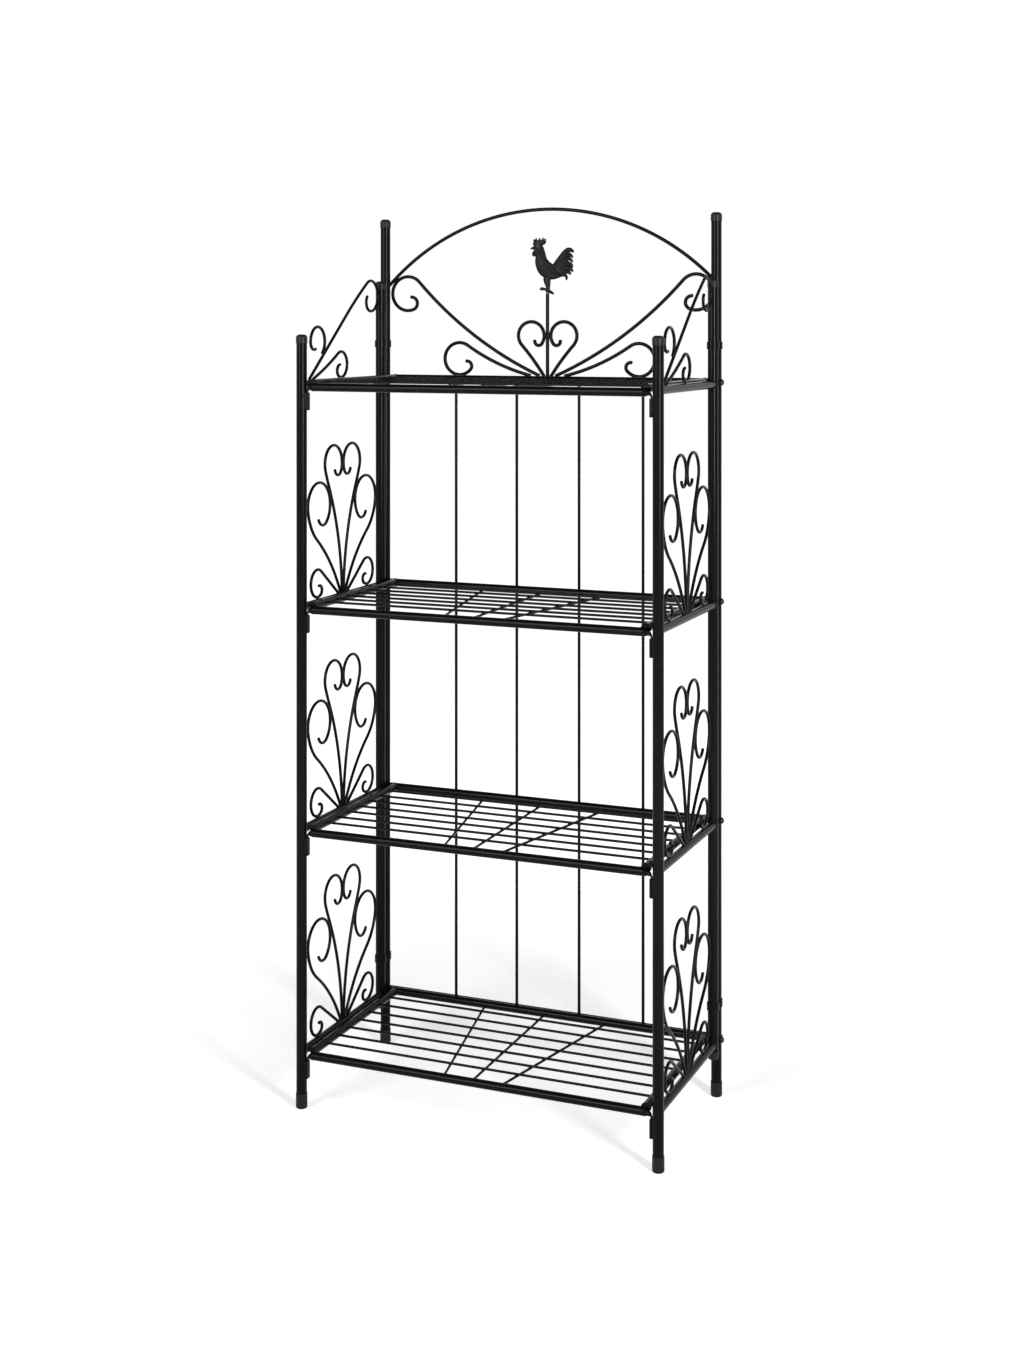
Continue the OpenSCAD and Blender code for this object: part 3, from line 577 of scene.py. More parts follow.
# %% Three kinds of fan rod
FAN_MARGIN = 20.5
reach = (SIDE_Y - FRONT_Y) / 2 - FAN_MARGIN
TALL_X, TALL_HEADING, TALL_OUT, TALL_UP, TALL_SWEEP, TALL_CURL = 2.7, 88.2, -25.5, 241, 6, 29.9
sine_h, sine_f, sine_e = bends(np.sin, TALL_HEADING, TALL_OUT, TALL_SWEEP)
tall_r = (FAN_R + SKIN / 2 - TALL_X - TALL_UP * (sine_e - sine_f) + TALL_CURL * (1 + sine_e)) / (sine_h - sine_f)
tall = sprung(ON_RAIL, TALL_X, TALL_HEADING, (tall_r, TALL_OUT), (TALL_UP, TALL_SWEEP), (TALL_CURL, 230), (11.5, 141))

MID_X, MID_HEADING, MID_OUT, MID_UP, MID_SWEEP, MID_CURL = 8.6, 62.5, -26.1, 77.5, 42.4, 37.8
sine_h, sine_f, sine_e = bends(np.sin, MID_HEADING, MID_OUT, MID_SWEEP)
mid_r = (reach - MID_X - MID_UP * (sine_e - sine_f) - MID_CURL * (1 - sine_e)) / (sine_h - sine_f)
mid = sprung(ON_RAIL, MID_X, MID_HEADING, (mid_r, MID_OUT), (MID_UP, MID_SWEEP), (MID_CURL, 240), (17, 107))

LOW_X, LOW_HEADING, LOW_INSET = 18.5, 36, 10
low_s, low_c = np.sin(np.radians(LOW_HEADING)), np.cos(np.radians(LOW_HEADING))
drop = FAN_R * (1 - low_c) + SKIN
low_curl = ((reach - LOW_INSET - LOW_X) * low_s - drop * low_c) / ((1 + low_s) * low_s + (1 + low_c) * low_c)
low_run = (drop + low_curl * (1 + low_c)) / low_s
low = sprung(ON_RAIL, LOW_X, LOW_HEADING, (0, low_run), (low_curl, -246), (8, -169))

print("fan radii: tall %.1f, middle %.1f, low curl %.2f" % (tall_r, mid_r, low_curl))

# %% [markdown]
# ## Rods of a side crest
# Above the highest rail of a side panel a long rod runs up to the side post and hooks back. A short rod leans on
# its back with one curl, and a third curls below it. At the end all kinds are set in space, and the drawn lines
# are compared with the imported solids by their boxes. A drawn box has the whole radius added at a rod's cut foot
# too, so it is larger there, by less than one radius.

# %% Side crest rods, and all rods in space
RUN_FOOT, RUN_HEADING, RUN_SAG, RUN_SWEEP, RUN_HOOK = 16.5, 38.8, 900, -6, 26
run_y, run_c = POST_R + RUN_FOOT, np.cos(np.radians(RUN_HEADING))
run_s, end_s = bends(np.sin, RUN_HEADING, RUN_SWEEP)
hook_reach = SIDE_Y - FRONT_Y - POST_R - FAN_R - SKIN
run_length = (hook_reach - run_y - RUN_SAG * (run_s - end_s) - RUN_HOOK * (1 + end_s)) / run_c
long_run = sprung(ON_RAIL, run_y, RUN_HEADING, (0, run_length), (RUN_SAG, RUN_SWEEP), (RUN_HOOK, -225), (15, -120))
along_run = np.array([[run_c, -run_s], [run_s, run_c]])
UPPER_FOOT = 60
upper_foot = np.array([run_y, RAIL_R + FAN_R * run_c]) + along_run @ [UPPER_FOOT, 2 * FAN_R + SKIN]
upper = bent_line(upper_foot, RUN_HEADING, [(24, 235), (12, 110)])
LOWER_FOOT, LOWER_HEADING, LOWER_RISE, LOWER_SWEEP = 30.5, 20.5, 600, 9
cos_h, cos_e = bends(np.cos, LOWER_HEADING, LOWER_SWEEP)
lower_curl = (LOWER_RISE * (cos_h - cos_e) - FAN_R * (1 - cos_h) - SKIN) / (1 + cos_e)
lower = sprung(ON_RAIL, POST_R + LOWER_FOOT, LOWER_HEADING,
               (LOWER_RISE, LOWER_SWEEP), (lower_curl, -230), (10, -160))


def in_back(line, side=1.0):
    """Crest line (x, z above the top crossbar) as points in space."""
    return join(side * line[:, 0], CREST_Y, SHELF_Z[3] + line[:, 1])


def in_panel(line, side, z, y=0.0, mirror=1.0):
    """Panel line (distance along y, height above the rail's axis) as points in space."""
    return join(side * HALF_W, y + mirror * line[:, 0], z - PANEL_DROP + line[:, 1])


FAN_Y = (FRONT_Y + SIDE_Y) / 2
crest_lines = [in_back(line, side) for line in (large, small, heart) for side in SIDES]
fan_lines = [[in_panel(line, side, z, FAN_Y, mirror) for line in (tall, mid, low) for mirror in SIDES]
             for side in SIDES for z in SHELF_Z[:3]]
side_crest_lines = [[in_panel(line, side, SHELF_Z[3], FRONT_Y) for line in (long_run, upper, lower)]
                    for side in SIDES]
for name, lines in (("crest_large_scrolls", crest_lines[:2]), ("crest_small_scrolls", crest_lines[2:4]),
                    ("crest_heart", crest_lines[4:]), ("side_fan_left_1", fan_lines[0]),
                    ("side_crest_right", side_crest_lines[1])):
    drawn = np.concatenate(lines)
    radius = CREST_R if name.startswith("crest") else FAN_R
    gap = np.array(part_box(name)) * 1000 - [drawn.min(0) - radius, drawn.max(0) + radius]
    print(name, "boxes of drawn line and solid differ by at most %.2f mm" % np.abs(gap).max())

# %% [markdown]
# ## Weld beads
# A welder joins two tubes with a bead that follows the seam between them. The seam is a saddle: for each line on
# the branch's surface it is the point where that line pierces the run's surface. The bead is a small sweep along
# that closed loop, with the faint ripples that each pulse of the arc leaves. Short tacks are blobs. Both lie
# half inside the metal, so nothing stands off the joint.

# %% Beads round branches and tacks between rods
def seam(c, a, r, q, w, R, points):
    """Saddle between branches (point c, direction a, radius r) and runs (point q, direction w, radius R).
    With P and A the parts of p - q and of a square to w, a line p + s a meets the run where |P + s A| = R,
    so s = (-P.A + root((P.A)^2 - |A|^2 (|P|^2 - R^2))) / |A|^2. Also gives the outward direction."""
    c, a, q, w = np.broadcast_arrays(*(np.atleast_2d(v).astype(float) for v in (c, a, q, w)))
    e1 = unit(off(a, w))
    e2 = np.cross(a, e1)
    t = around(points)[None, :, None]
    out = np.cos(t) * e1[:, None] + np.sin(t) * e2[:, None]
    p = c[:, None] + r * out
    P, A = off(w[:, None], p - q[:, None]), off(w[:, None], a[:, None])
    pa, aa, pp = ((u * v).sum(-1, keepdims=True) for u, v in ((P, A), (A, A), (P, P)))
    s = (-pa + np.sqrt(np.maximum(pa ** 2 - aa * (pp - R ** 2), 0.0))) / aa
    return p + s * a[:, None], unit(out + unit(P + s * A))


def bead(*joint, size, pitch=1.7, columns=8):
    """Rippled bead of half width size along the seams of a joint, which is given as for seam. The size swells by
    one eighth once every pitch."""
    path, out = seam(*joint)
    length = np.linalg.norm(np.roll(path, -1, 1) - path, axis=-1).sum(1).mean()
    phase = around(path.shape[1]) * round(length / pitch)
    swell = size * (1 + 0.125 * np.cos(phase))[None, :, None, None]
    return sweep(path, swell * ellipse(columns, 0.8, 1.15)[None, None], out, closed=True), True


def touch(one, other, size):
    """Tack between two rods: a blob where their middle lines come nearest to each other."""
    apart = np.linalg.norm(one[:, None] - other[None], axis=-1)
    i, j = np.unravel_index(apart.argmin(), apart.shape)
    along = one[min(i + 1, len(one) - 1)] - one[max(i - 1, 0)]
    return blobs((one[i] + other[j]) / 2, along, size, across=other[j] - one[i])


# Side rails on the legs and side posts.
post_ends = np.array([[side * HALF_W, y, z - PANEL_DROP]
                      for side in SIDES for y in (FRONT_Y, SIDE_Y) for z in SHELF_Z])
rail_way = -np.sign(post_ends) * [0, 1, 0]
groups = [bead(post_ends, rail_way, RAIL_R, post_ends, [0, 0, 1], POST_R + SKIN, 96, size=1.25)]


def feet(lines):
    """First point and first direction of each line."""
    start = np.array([line[0] for line in lines])
    return start, unit(np.array([line[1] for line in lines]) - start)


# Bent rods on the rails of the side panels.
footed = sum(fan_lines, []) + [line for trio in side_crest_lines for line in (trio[0], trio[2])]
start, way = feet(footed)
rail_z = SHELF_Z[np.abs(start[:, 2:3] - SHELF_Z[None]).argmin(1)] - PANEL_DROP
rail_at = join(start[:, 0], start[:, 1], rail_z)
groups.append(bead(start, way, FAN_R, rail_at, [0, 1, 0], RAIL_R, 36, size=0.85))

# Crest rods and the rooster's stem on the top crossbar.
stem_foot = join(0.0, CREST_Y, SHELF_Z[3] + np.array([crest_top, 30.0]))
start, way = feet(crest_lines + [stem_foot])
groups.append(bead(start, way, CREST_R, [0, BAR_Y, SHELF_Z[3]], [1, 0, 0], BAR_R, 40, size=0.95))

# Upright rods between the crossbars.
ROD_PITCH = 113
rod_x = (np.arange(4) - 1.5) * ROD_PITCH
ends = np.array([[x, BAR_Y, z] for z in SHELF_Z[[0, 3]] for x in rod_x])
rod_way = np.sign(SHELF_Z[1] - ends) * [0, 0, 1]
groups.append(bead(ends, rod_way, ROD_R, ends, [1, 0, 0], BAR_R, 36, size=0.85))

# Tacks where two rods touch. A slice keeps to the part of a rod that is tacked.
FAN_TACK, CREST_TACK = (3.2, 1.1, 1.5), (3.6, 1.3, 1.7)
tacks = [touch(fan[a], fan[b], FAN_TACK) for fan in fan_lines for a, b in ((0, 2), (1, 3))]
tacks += [touch(trio[1][:40], trio[0], FAN_TACK) for trio in side_crest_lines]
arch_line = in_back(arch)
tacks += [touch(crest_lines[k], arch_line, CREST_TACK) for k in (0, 1)]
stem_line = join(0.0, CREST_Y, SHELF_Z[3] + np.linspace(30, 120, 60))
tacks += [touch(crest_lines[k][12:], stem_line, CREST_TACK) for k in (4, 5)]
groups += tacks


def rests(lines, support, radius):
    """Tacks under curls that come down on a level support: where the last two thirds of each line lie lowest."""
    curls = [line[len(line) // 3:] for line in lines]
    lowest = np.array([curl[curl[:, 2].argmin()] for curl in curls])
    return blobs(lowest - [0, 0, radius], support, (2.8, 1.4, 0.9))


groups.append(rests([fan[k] for fan in fan_lines for k in (4, 5)], [0, 1, 0], FAN_R))
groups.append(rests(crest_lines[2:4], [1, 0, 0], CREST_R))
# Tacks above and below the ends of the crossbars and of the arch.
crossings = [[side * HALF_W, BACK_Y + POST_R, z + up * (BAR_R + 0.4)]
             for side in SIDES for z in SHELF_Z[[0, 3]] for up in (-1, 1)]
groups.append(blobs(crossings, [1, 0, 0], (4.4, 1.5, 1.3)))
arch_ends = [arch_line[k] + [0, -CREST_R, up * (CREST_R + 0.6)] for k in (0, -1) for up in (-1, 1)]
groups.append(blobs(arch_ends, [1, 0, 0], (3.6, 1.4, 1.2)))
piece("weld_beads_frame", groups)

# %% [markdown]
# ## Beads of a shelf
# The four shelves are welded alike: their side tubes run into the front and rear tubes, and each wire is spot
# welded where it ends and where it crosses another wire.

# %% Weld beads on the shelves
REAR_LINE, FRONT_LINE = np.array([0, BACK_Y, 0]), np.array([0, FRONT_Y, -FRONT_DROP])
wire_y = FRONT_Y + np.arange(1, 8) * (BACK_Y - FRONT_Y) / 8
WIRE_Z, CROSS_Z = 2.0, 2.0 - 2 * WIRE_R - SKIN
cross_front = FRONT_Y + np.sqrt(RAIL_R ** 2 - (CROSS_Z + FRONT_DROP - WIRE_R) ** 2) + SKIN
cross_rear = BACK_Y - RAIL_R - SKIN
SPLAY_FRONT, SPLAY_REAR = 50.0, 108.0
SPOT = {"size": 0.7, "pitch": 1.4, "columns": 6}
cross_x = np.array([[side * SPLAY_FRONT, side * SPLAY_REAR] for side in (-1, 0, 1)])


def shelf_beads(z):
    """Groups of beads and tacks for the shelf whose axis lies at height z."""
    up = np.array([0, 0, z])
    tube = np.array([[side * SIDE_RAIL_X, 0, 0] for side in SIDES])
    made = [bead(tube + [0, y, 0] + up, [0, way, 0], RAIL_R, line + up, [1, 0, 0], RAIL_R, 96, size=1.1)
            for y, way, line in ((BACK_Y, -1, REAR_LINE), (FRONT_Y, 1, FRONT_LINE))]
    wires = np.array([[side * SIDE_RAIL_X, y, WIRE_Z] for side in SIDES for y in wire_y]) + up
    inward = -np.sign(wires) * [1, 0, 0]
    made.append(bead(wires, inward, WIRE_R, wires * [1, 0, 0] + up, [0, 1, 0], RAIL_R, 24, **SPOT))
    run = unit(join(cross_x[:, 1] - cross_x[:, 0], cross_rear - cross_front, 0.0))
    for x, y, way, line in ((cross_x[:, 0], cross_front, run, FRONT_LINE),
                            (cross_x[:, 1], cross_rear, -run, REAR_LINE)):
        made.append(bead(join(x, y, CROSS_Z) + up, way, WIRE_R, line + up, [1, 0, 0], RAIL_R, 24, **SPOT))
    share = (wire_y - cross_front) / (cross_rear - cross_front)
    x = cross_x[:, :1] + share * (cross_x[:, 1:] - cross_x[:, :1])
    spots = join(x, wire_y, WIRE_Z - WIRE_R).reshape(-1, 3) + up
    made.append(blobs(spots, [1, 0, 0], (2.0, 2.0, 0.75), rows=6, columns=10))
    return made


for k, z in enumerate(SHELF_Z, 1):
    piece("weld_beads_shelf_%d" % k, shelf_beads(z), "shelf_%d" % k)

# %% [markdown]
# ## Rod tips
# A sheared rod never keeps a knife-sharp end: the powder rounds it over. A shallow dome on each free end catches
# a point of light, which is what makes the ends of the scrolls read as cut rod.

# %% Domed tips on free rod ends
def tips(lines, radius, ends=(-1,)):
    """Domes, half as high as the rod's radius, at the last, or first and last, points of lines."""
    where = [line[k] for line in lines for k in ends]
    ways = [line[k] - line[1 if k == 0 else -2] for line in lines for k in ends]
    return blobs(where, ways, (radius / 2, radius, radius), rows=6, columns=20, span=(-0.15, 1.4))


BAR_OVERHANG = 5.0
bars = [np.array([[side * x, BAR_Y, z] for x in (HALF_W, HALF_W + BAR_OVERHANG)])
        for side in SIDES for z in SHELF_Z[[0, 3]]]
piece("rod_tips", [tips(crest_lines, CREST_R), tips([arch_line], CREST_R, (0, -1)), tips(bars, BAR_R),
                   tips(footed, FAN_R), tips([trio[1] for trio in side_crest_lines], FAN_R, (0, -1))],
      slot="scroll_rods")

# %% [markdown]
# ## Hooks at the ends of the front rails
# The end of each front tube is squeezed flat and bent down into a tab. It could be a hull of simple solids, as in
# the construction model, but a real press leaves one smooth skin that goes from round to flat. So a section is
# carried round the bend while it changes from a circle to a thin rounded bar.

# %% Flattened hooks
TAB_W, TAB_T, TAB_L, TAB_GAP, BEND_L = 6.0, 1.5, 14.0, 0.4, 13.0
tab_x = HALF_W - POST_R - SKIN - CUP_WALL - TAB_GAP - TAB_T / 2
rail_end = tab_x + TAB_T / 2 - BEND_L
tab_top = -RAIL_R - 2.0
BEND_ROWS, TAB_ROWS = 22, 10


def bar_section(columns, power):
    """Rounded bar: (|cos t|^(2/p), |sin t|^(2/p)) with the signs kept. Power 2 is a circle, more is squarer."""
    t = around(columns) + np.pi / columns
    u, v = np.cos(t), np.sin(t)
    return join(np.sign(u) * np.abs(u) ** (2 / power), np.sign(v) * np.abs(v) ** (2 / power))


def ease(x):
    """Smooth step from 0 to 1: x^2 (3 - 2 x)."""
    x = np.clip(x, 0, 1)
    return x * x * (3 - 2 * x)


def hook_points(side, z):
    """Hook at one end of a front rail. The path leaves the tube level, turns down on a quarter of an ellipse and
    runs straight down the tab. Width goes from tube to tab, thickness from tube to sheet."""
    turn = np.linspace(0, np.pi / 2, BEND_ROWS)
    bend = join(rail_end + 1 + (tab_x - rail_end - 1) * np.sin(turn), -0.6 + (tab_top + 1.6) * (1 - np.cos(turn)))
    straight = join(tab_x, np.linspace(tab_top + 0.2, tab_top - TAB_L + 0.1, TAB_ROWS))
    line = np.concatenate([[[rail_end - 0.6, 0.0], [rail_end + 0.2, 0.0]], bend, straight])
    share = np.append(np.linspace(0, 1, BEND_ROWS + 2), np.ones(TAB_ROWS))
    wide = RAIL_R + (TAB_W / 2 - RAIL_R) * ease(share)
    thick = RAIL_R + (TAB_T / 2 - RAIL_R) * ease(share * 1.15)
    wide[-1], thick[-1] = wide[-1] * 0.8, thick[-1] * 0.6
    wide[:2], thick[:2] = RAIL_R - 0.02, RAIL_R - 0.02
    mix = ease(share)[:, None, None]
    section = ((1 - mix) * bar_section(40, 2.0) + mix * bar_section(40, 5.0)) * join(wide, thick)[:, None]
    path = join(side * line[:, 0], FRONT_Y, z - FRONT_DROP + line[:, 1])
    return sweep(path[None], section[None], [0, 1, 0])


for k, z in enumerate(SHELF_Z, 1):
    piece("hooks_shelf_%d" % k, [hook_points(side, z) for side in SIDES], "shelf_%d" % k,
          replaces=["shelf_%d_hooks" % k], sharp=60)

# %% [markdown]
# ## Pockets on the front legs
# Each tab drops into a pocket: a strip of sheet bent into a U and welded by its two edges to the leg. It is swept
# as a tall thin bar round two small corners, so its bends are rounded as a press brake leaves them.

# %% Bent pocket straps
POCKET_T, POCKET_H, POCKET_PLAY, CORNER_R, REST_GAP = 1.2, 28.0, 1.4, 1.3, 0.3
CHEEK_START, CHEEK_MIDDLE = -6.4, -8.0
pocket_wall = HALF_W - tab_x + TAB_T / 2 + TAB_GAP + POCKET_T / 2
pocket_half = TAB_W / 2 + POCKET_PLAY + POCKET_T / 2
pocket_drop = FRONT_DROP - tab_top + REST_GAP + POCKET_H / 2


def pocket_points(side, z):
    """A U of sheet in plan: in along one cheek, round a corner, across the tab, round a corner and back."""
    quarter = np.linspace(0, np.pi / 2, 7)
    inner, cheek = -pocket_wall, pocket_half
    corner = join(inner + CORNER_R * (1 - np.sin(quarter)), -cheek + CORNER_R * (1 - np.cos(quarter)))
    half = np.concatenate([[[CHEEK_START, -cheek], [CHEEK_MIDDLE, -cheek]], corner])
    across = join(inner, np.linspace(-cheek + CORNER_R, cheek - CORNER_R, 5)[1:-1])
    plan = np.concatenate([half, across, half[::-1] * [1, -1]])
    path = join(side * (HALF_W + plan[:, 0]), FRONT_Y + plan[:, 1], z - pocket_drop)
    section = bar_section(24, 9.0) * [POCKET_H / 2, POCKET_T / 2]
    return sweep(path[None], section[None, None], [0, 0, 1])


piece("pocket_straps", [pocket_points(side, z) for side in SIDES for z in SHELF_Z], replaces=["shelf_pockets"],
      sharp=50)

cheek_x = HALF_W - np.sqrt(POST_R ** 2 - pocket_half ** 2)
bead_at = [[side * (cheek_x - 0.2), FRONT_Y + turn * (pocket_half + 0.5), z - pocket_drop + level]
           for side in SIDES for z in SHELF_Z for turn in SIDES for level in (-8.5, 8.5)]
piece("pocket_welds", [blobs(bead_at, [0, 0, 1], (4.6, 0.95, 0.95), rows=9, columns=10)])

# %% [markdown]
# ## Pivot bolts
# The shelves turn on bolts with a low domed head and a hexagon socket. The head is a profile turned round its axis.
# Inside the socket the radius follows a hexagon, and it eases back to a circle at the rim, so one grid gives both.

# %% Domed bolts with a hexagon socket
HEAD_R, HEAD_H, BOLT_R, MOUTH_R, SOCKET, SOCKET_FLOOR = 5.5, 4.5, 3.0, 2.9, 2.0, 1.6
RAIL_GAP, SLEEVE_L = 2.0, 16.0
shank_end = -2 * POST_R - RAIL_GAP - SLEEVE_L


def bolt_points(side, z):
    """Turned profile (distance from the head's seat, radius, share of hexagon). The hexagon's radius at angle t is
    SOCKET / cos(u), with u the angle to the middle of the nearest flat."""
    sphere = (HEAD_R ** 2 + HEAD_H ** 2) / (2 * HEAD_H)
    dome_r = HEAD_R * np.cos(np.linspace(0, 1, 9) * np.arccos(MOUTH_R / HEAD_R))
    dome_x = HEAD_H - sphere + np.sqrt(sphere ** 2 - dome_r ** 2)
    profile = np.concatenate([
        [[shank_end, BOLT_R - 0.4, 0], [shank_end + 0.4, BOLT_R, 0], [-0.4, BOLT_R, 0],
         [0.02, BOLT_R + 0.2, 0], [0.02, HEAD_R - 0.25, 0], [0.25, HEAD_R, 0]],
        join(dome_x, dome_r, 0)[1:],
        [[dome_x[-1] - 0.02, MOUTH_R - 0.3, 0.3], [dome_x[-1] - 0.25, SOCKET, 1],
         [SOCKET_FLOOR, SOCKET, 1], [SOCKET_FLOOR - 0.05, SOCKET * 0.55, 1]]])
    t = around(48)
    flat = 1 / np.cos((t + np.pi / 6) % (np.pi / 3) - np.pi / 6)
    radius = profile[:, 1:2] * (1 + profile[:, 2:] * (flat - 1))
    return join(side * (HALF_W + POST_R + profile[:, :1]), BACK_Y + radius * np.cos(t), z + radius * np.sin(t))[None]


piece("domed_bolts", [bolt_points(side, z) for side in SIDES for z in SHELF_Z], slot="bolts",
      replaces=["pivot_bolts"], sharp=40)

# %% [markdown]
# ## The rooster finial
# The finial is a thin casting of a rooster, modelled on both faces. A sculptor would build it up from strips of
# clay: a body, a head, a comb, a tail of curved feathers. The same works here. Each strip is a leaf shape
# carried along a smooth line in the upright plane, with its own half width and half thickness at every point.
# The strips run into each other, so together they read as one casting.

# %% Leaf shapes along smooth lines
ROOST_Y, ROOST_Z = CREST_Y + 0.4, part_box("rooster_stem")[1][2] * 1000 + SKIN


def curve(points, steps):
    """Smooth line through points a, b, c, d: (2b + (c - a) t + (2a - 5b + 4c - d) t^2 + (3b - a - 3c + d) t^3)
    over two, for t from 0 to 1 between b and c. Every column is smoothed the same way."""
    p = np.array(points, float)
    p = np.concatenate([2 * p[:1] - p[1:2], p, 2 * p[-1:] - p[-2:-1]])
    a, b, c, d = (v[:, None] for v in (p[:-3], p[1:-2], p[2:-1], p[3:]))
    t = np.linspace(0, 1, steps, endpoint=False)[None, :, None]
    line = (2 * b + (c - a) * t + (2 * a - 5 * b + 4 * c - d) * t ** 2 + (3 * b - a - 3 * c + d) * t ** 3) / 2
    return np.concatenate([line.reshape(-1, p.shape[1]), p[-2:-1]])


def leaf(points, rib=0.0, barb=0.0, steps=6, columns=20):
    """Shell round a smooth line of (x, height, half width, half thickness). Round the line the thickness goes as
    cos t (1 - rib + rib |cos t|^3), which raises a rib, and the width goes as sin t. Barbs are waves in the
    thickness, 1.7 mm apart, that slant back from the rib: 1 - barb (1 + sin(2 pi (s / 1.7 - |sin t|))) / 2."""
    line = curve(points, steps)
    line[:, 2:] = np.maximum(line[:, 2:], 0.12)
    s = np.concatenate([[0], np.cumsum(np.hypot(*np.diff(line[:, :2], axis=0).T))])[:, None]
    t = around(columns)[None, :]
    wave = 1 - barb * (1 + np.sin(2 * np.pi * (s / 1.7 - np.abs(np.sin(t))))) / 2
    section = join(line[:, 3:4] * np.cos(t) * (1 - rib + rib * np.abs(np.cos(t)) ** 3) * wave,
                   line[:, 2:3] * np.sin(t))
    return sweep(join(line[:, 0], ROOST_Y, ROOST_Z + line[:, 1])[None], section[None], [0, 1, 0])


spine = [(-17.2, 86, 5.0, 1.8), (-17.4, 80, 8.2, 2.3), (-15.2, 72, 9.5, 2.6), (-12.6, 63, 9.8, 2.9),
         (-11.0, 53, 11.9, 3.2), (-5.0, 42.5, 13.9, 3.4), (5.0, 36.8, 13.6, 3.4), (16.0, 36.4, 12.2, 3.0),
         (26.0, 35.6, 8.0, 2.2), (33.0, 35, 3.0, 1.2)]
body = [leaf(spine, columns=32),
        leaf([(-1.5, 27, 6.6, 2.6), (-0.9, 21.5, 6.6, 3.0), (0.2, 15.2, 5.2, 3.0), (0.7, 10, 3.9, 2.9),
              (0.5, 4, 3.4, 3.0), (0.0, 0.5, 3.0, 3.0)]),
        leaf([(-23.0, 77.3, 3.8, 2.0), (-26.4, 76.8, 2.6, 1.7), (-29.2, 76.0, 1.6, 1.2), (-31.8, 75.2, 0.4, 0.4)], 0.1),
        leaf([(-22.0, 71.8, 2.6, 1.6), (-24.6, 69.0, 3.0, 1.9), (-25.2, 65.8, 3.1, 1.7), (-23.4, 62.6, 1.6, 1.0)], 0.1),
        leaf([(11.5, 38.5, 3.0, 2.6), (14.2, 43.0, 4.6, 4.0), (17.0, 47.6, 4.2, 3.7), (18.8, 51.5, 2.0, 2.2)]),
        leaf([(-18.6, 79, 2.4, 2.3), (-17.6, 71, 4.0, 3.4), (-16.5, 61, 4.6, 3.9), (-16.2, 51, 4.8, 4.1),
              (-13.0, 43, 4.0, 4.0), (-8.4, 37.5, 2.0, 3.2)])]
comb_plate = leaf([(-25.6, 81.5, 1.6, 1.1), (-22.6, 85.2, 3.6, 1.5), (-15.5, 86.4, 4.2, 1.6), (-9.4, 85.6, 4.4, 1.5),
                   (-5.0, 86.7, 2.9, 1.3), (-3.0, 88.4, 0.8, 0.8)])
comb_points = [leaf([(x - 0.35 * lean, 84.5, 1.6, 1.2), (x, 88, wide, 2.3), (x + lean, 91.2, wide * 0.75, 1.5),
                     (x + 1.5 * lean, top, 0.6, 0.6)], 0.2)
               for x, lean, wide, top in ((-24.2, -0.7, 1.7, 88.6), (-20.8, -0.1, 2.4, 93.6), (-14.9, 0.2, 2.5, 94.0),
                                          (-9.2, 0.7, 2.5, 94.5), (-5.6, 1.6, 2.2, 90.7))]
toes = [leaf([(2.5, 4.6, 2.8, 2.2), (-4, 6.6, 2.3, 1.9), (-8.6, 7.5, 2.8, 2.0), (-11.8, 7.3, 2.8, 1.8),
              (-13.8, 6.5, 1.2, 0.9)]),
        leaf([(-3, 4.6, 2.2, 2.0), (3, 3.4, 2.8, 2.2), (7, 1.4, 2.5, 1.9), (10.0, -0.4, 1.9, 1.5),
              (11.4, -1.6, 0.8, 0.7)])]
print("body, comb and feet: %d strips" % (len(body) + 1 + len(comb_points) + len(toes)))

# %% [markdown]
# ## Tail, wings and hackles
# The tail is a fan of sickle feathers, widest in the middle and hooked at the tip, with the barbs cut in as fine
# grooves. The wings and the hackles of the neck lie on the body, so their lines are given on its skin: a
# distance along the spine and a share of the half width. The skin's height follows from the body's own ellipse.

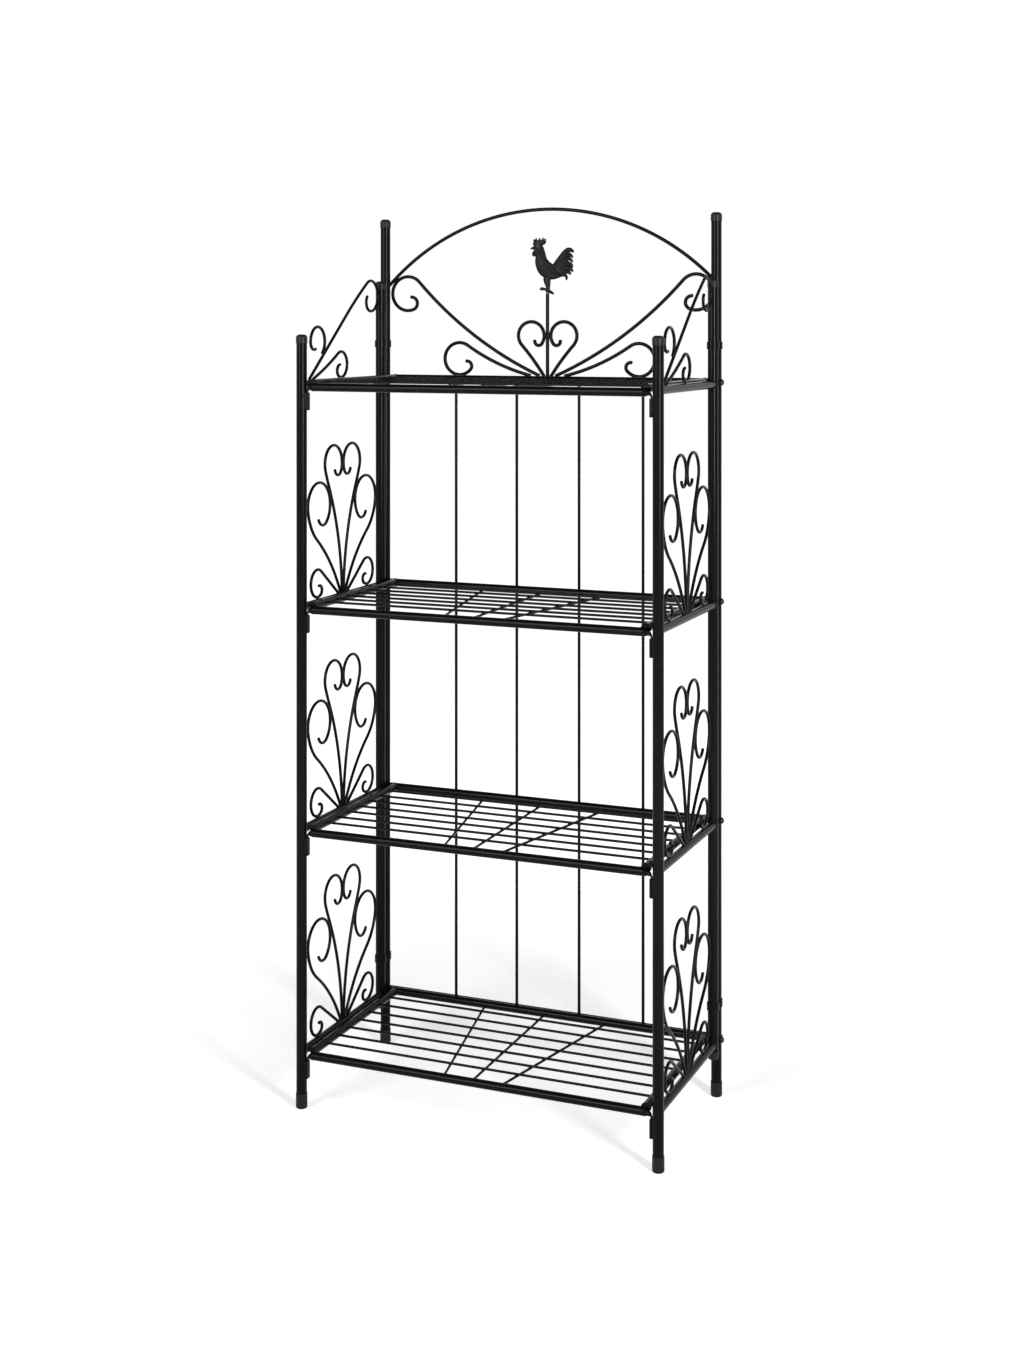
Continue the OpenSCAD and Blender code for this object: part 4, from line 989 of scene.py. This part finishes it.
# %% Feathers of the tail, wings and neck
tail_lines = [
    [(11, 40, 4.5, 2.4), (14.5, 47, 5.0, 2.5), (19.2, 53.6, 5.0, 2.5), (24.9, 60.7, 4.9, 2.4), (30.8, 68.0, 4.6, 2.1),
     (35.6, 72.1, 4.2, 1.8), (40.4, 72.8, 3.9, 1.6), (44.6, 71.0, 2.8, 1.3), (47.6, 68.4, 0.9, 0.8)],
    [(14, 40, 4.6, 2.8), (22, 51, 4.8, 2.7), (29.5, 61.0, 4.6, 2.2), (35.8, 65.0, 4.0, 1.9), (40.6, 64.4, 3.3, 1.6),
     (43.8, 62.0, 2.3, 1.3), (45.4, 59.0, 0.9, 0.8)],
    [(16, 39, 4.6, 2.6), (25, 48, 4.7, 2.5), (32.5, 55.8, 4.4, 2.1), (37.8, 58.2, 3.6, 1.8), (41.6, 56.4, 2.8, 1.5),
     (44.0, 54.0, 2.2, 1.2), (44.8, 51.2, 0.8, 0.8)],
    [(17, 38, 4.6, 2.8), (26, 43.8, 4.6, 2.7), (33.5, 49.0, 4.4, 2.2), (38.6, 50.0, 3.7, 1.8), (42.2, 47.8, 3.1, 1.5),
     (44.2, 45.2, 2.4, 1.2), (44.8, 42.6, 0.9, 0.8)],
    [(18, 36, 4.4, 2.6), (27, 39.8, 4.4, 2.5), (34.8, 42.6, 4.2, 2.1), (39.8, 42.0, 3.5, 1.8), (43.0, 39.8, 2.7, 1.5),
     (44.8, 37.4, 2.0, 1.2), (45.2, 35.2, 0.8, 0.8)],
    [(19, 34, 4.2, 2.8), (27, 35.2, 4.2, 2.6), (34.0, 36.6, 3.9, 2.1), (38.2, 35.4, 3.5, 1.7), (40.6, 33.2, 2.4, 1.3),
     (41.2, 30.6, 0.8, 0.8)],
    [(18, 31, 3.8, 2.6), (25.5, 31.6, 3.6, 2.2), (30.8, 30.8, 3.2, 1.9), (33.6, 28.4, 2.7, 1.6), (34.4, 25.2, 2.3, 1.4),
     (33.2, 21.8, 0.9, 0.8)]]
tail = [leaf(points, rib=0.42, barb=0.14, steps=22, columns=24) for points in tail_lines]

skin_line = curve(spine, 6)
along = np.linspace(0, 1, len(skin_line))


def on_skin(start, end, share0, share1, wide, thick, face, bow=0.0):
    """Feather on the body's skin, from start to end along the spine. With k the share of the half width, the skin
    stands at thickness root(1 - k^2) in front of or behind the middle plane."""
    t = np.linspace(0, 1, 11)
    k = share0 + (share1 - share0) * t + bow * 4 * t * (1 - t)
    s = start + (end - start) * t
    x, z, half, deep = (np.interp(s, along, skin_line[:, c]) for c in range(4))
    dx, dz = np.gradient(x), np.gradient(z)
    aside = k * half / np.hypot(dx, dz)
    x, z = x - aside * dz, z + aside * dx
    y = ROOST_Y + face * deep * np.sqrt(np.clip(1 - k ** 2, 0, 1))
    taper = np.sin(np.pi * (0.12 + 0.88 * t)) ** 0.6
    taper[-1] = 0.15
    section = taper[:, None, None] * ellipse(12, thick, wide)
    return sweep(join(x, y, ROOST_Z + z)[None], section[None], [0, 1, 0])


hackles = [on_skin(0.15 + 0.04 * (row % 2), 0.47 + 0.05 * (row % 3), 0.66 - 0.22 * row, 0.74 - 0.25 * row,
                   1.3, 0.85, face) for row in range(7) for face in SIDES]
wings = [on_skin(0.46 + 0.012 * row, 0.80 + 0.03 * row, 0.36 - 0.17 * row, 0.40 - 0.27 * row,
                 1.75, 1.0, face, bow=0.08) for row in range(6) for face in SIDES]
shoulders = blobs([[-4.5, ROOST_Y + face * 2.9, ROOST_Z + 41.5] for face in SIDES], [0.62, 0, -0.78], (7.0, 4.6, 1.25),
                  across=[0.78, 0, 0.62], rows=9, columns=18)
eyes = blobs([[-20.4, ROOST_Y + face * 2.05, ROOST_Z + 79.6] for face in SIDES], [0, 1, 0], (0.75, 1.15, 1.15))
piece("rooster_casting", body + [comb_plate] + comb_points + toes + tail + hackles + wings + [shoulders, eyes],
      slot="casting", replaces=["rooster"], sharp=55)
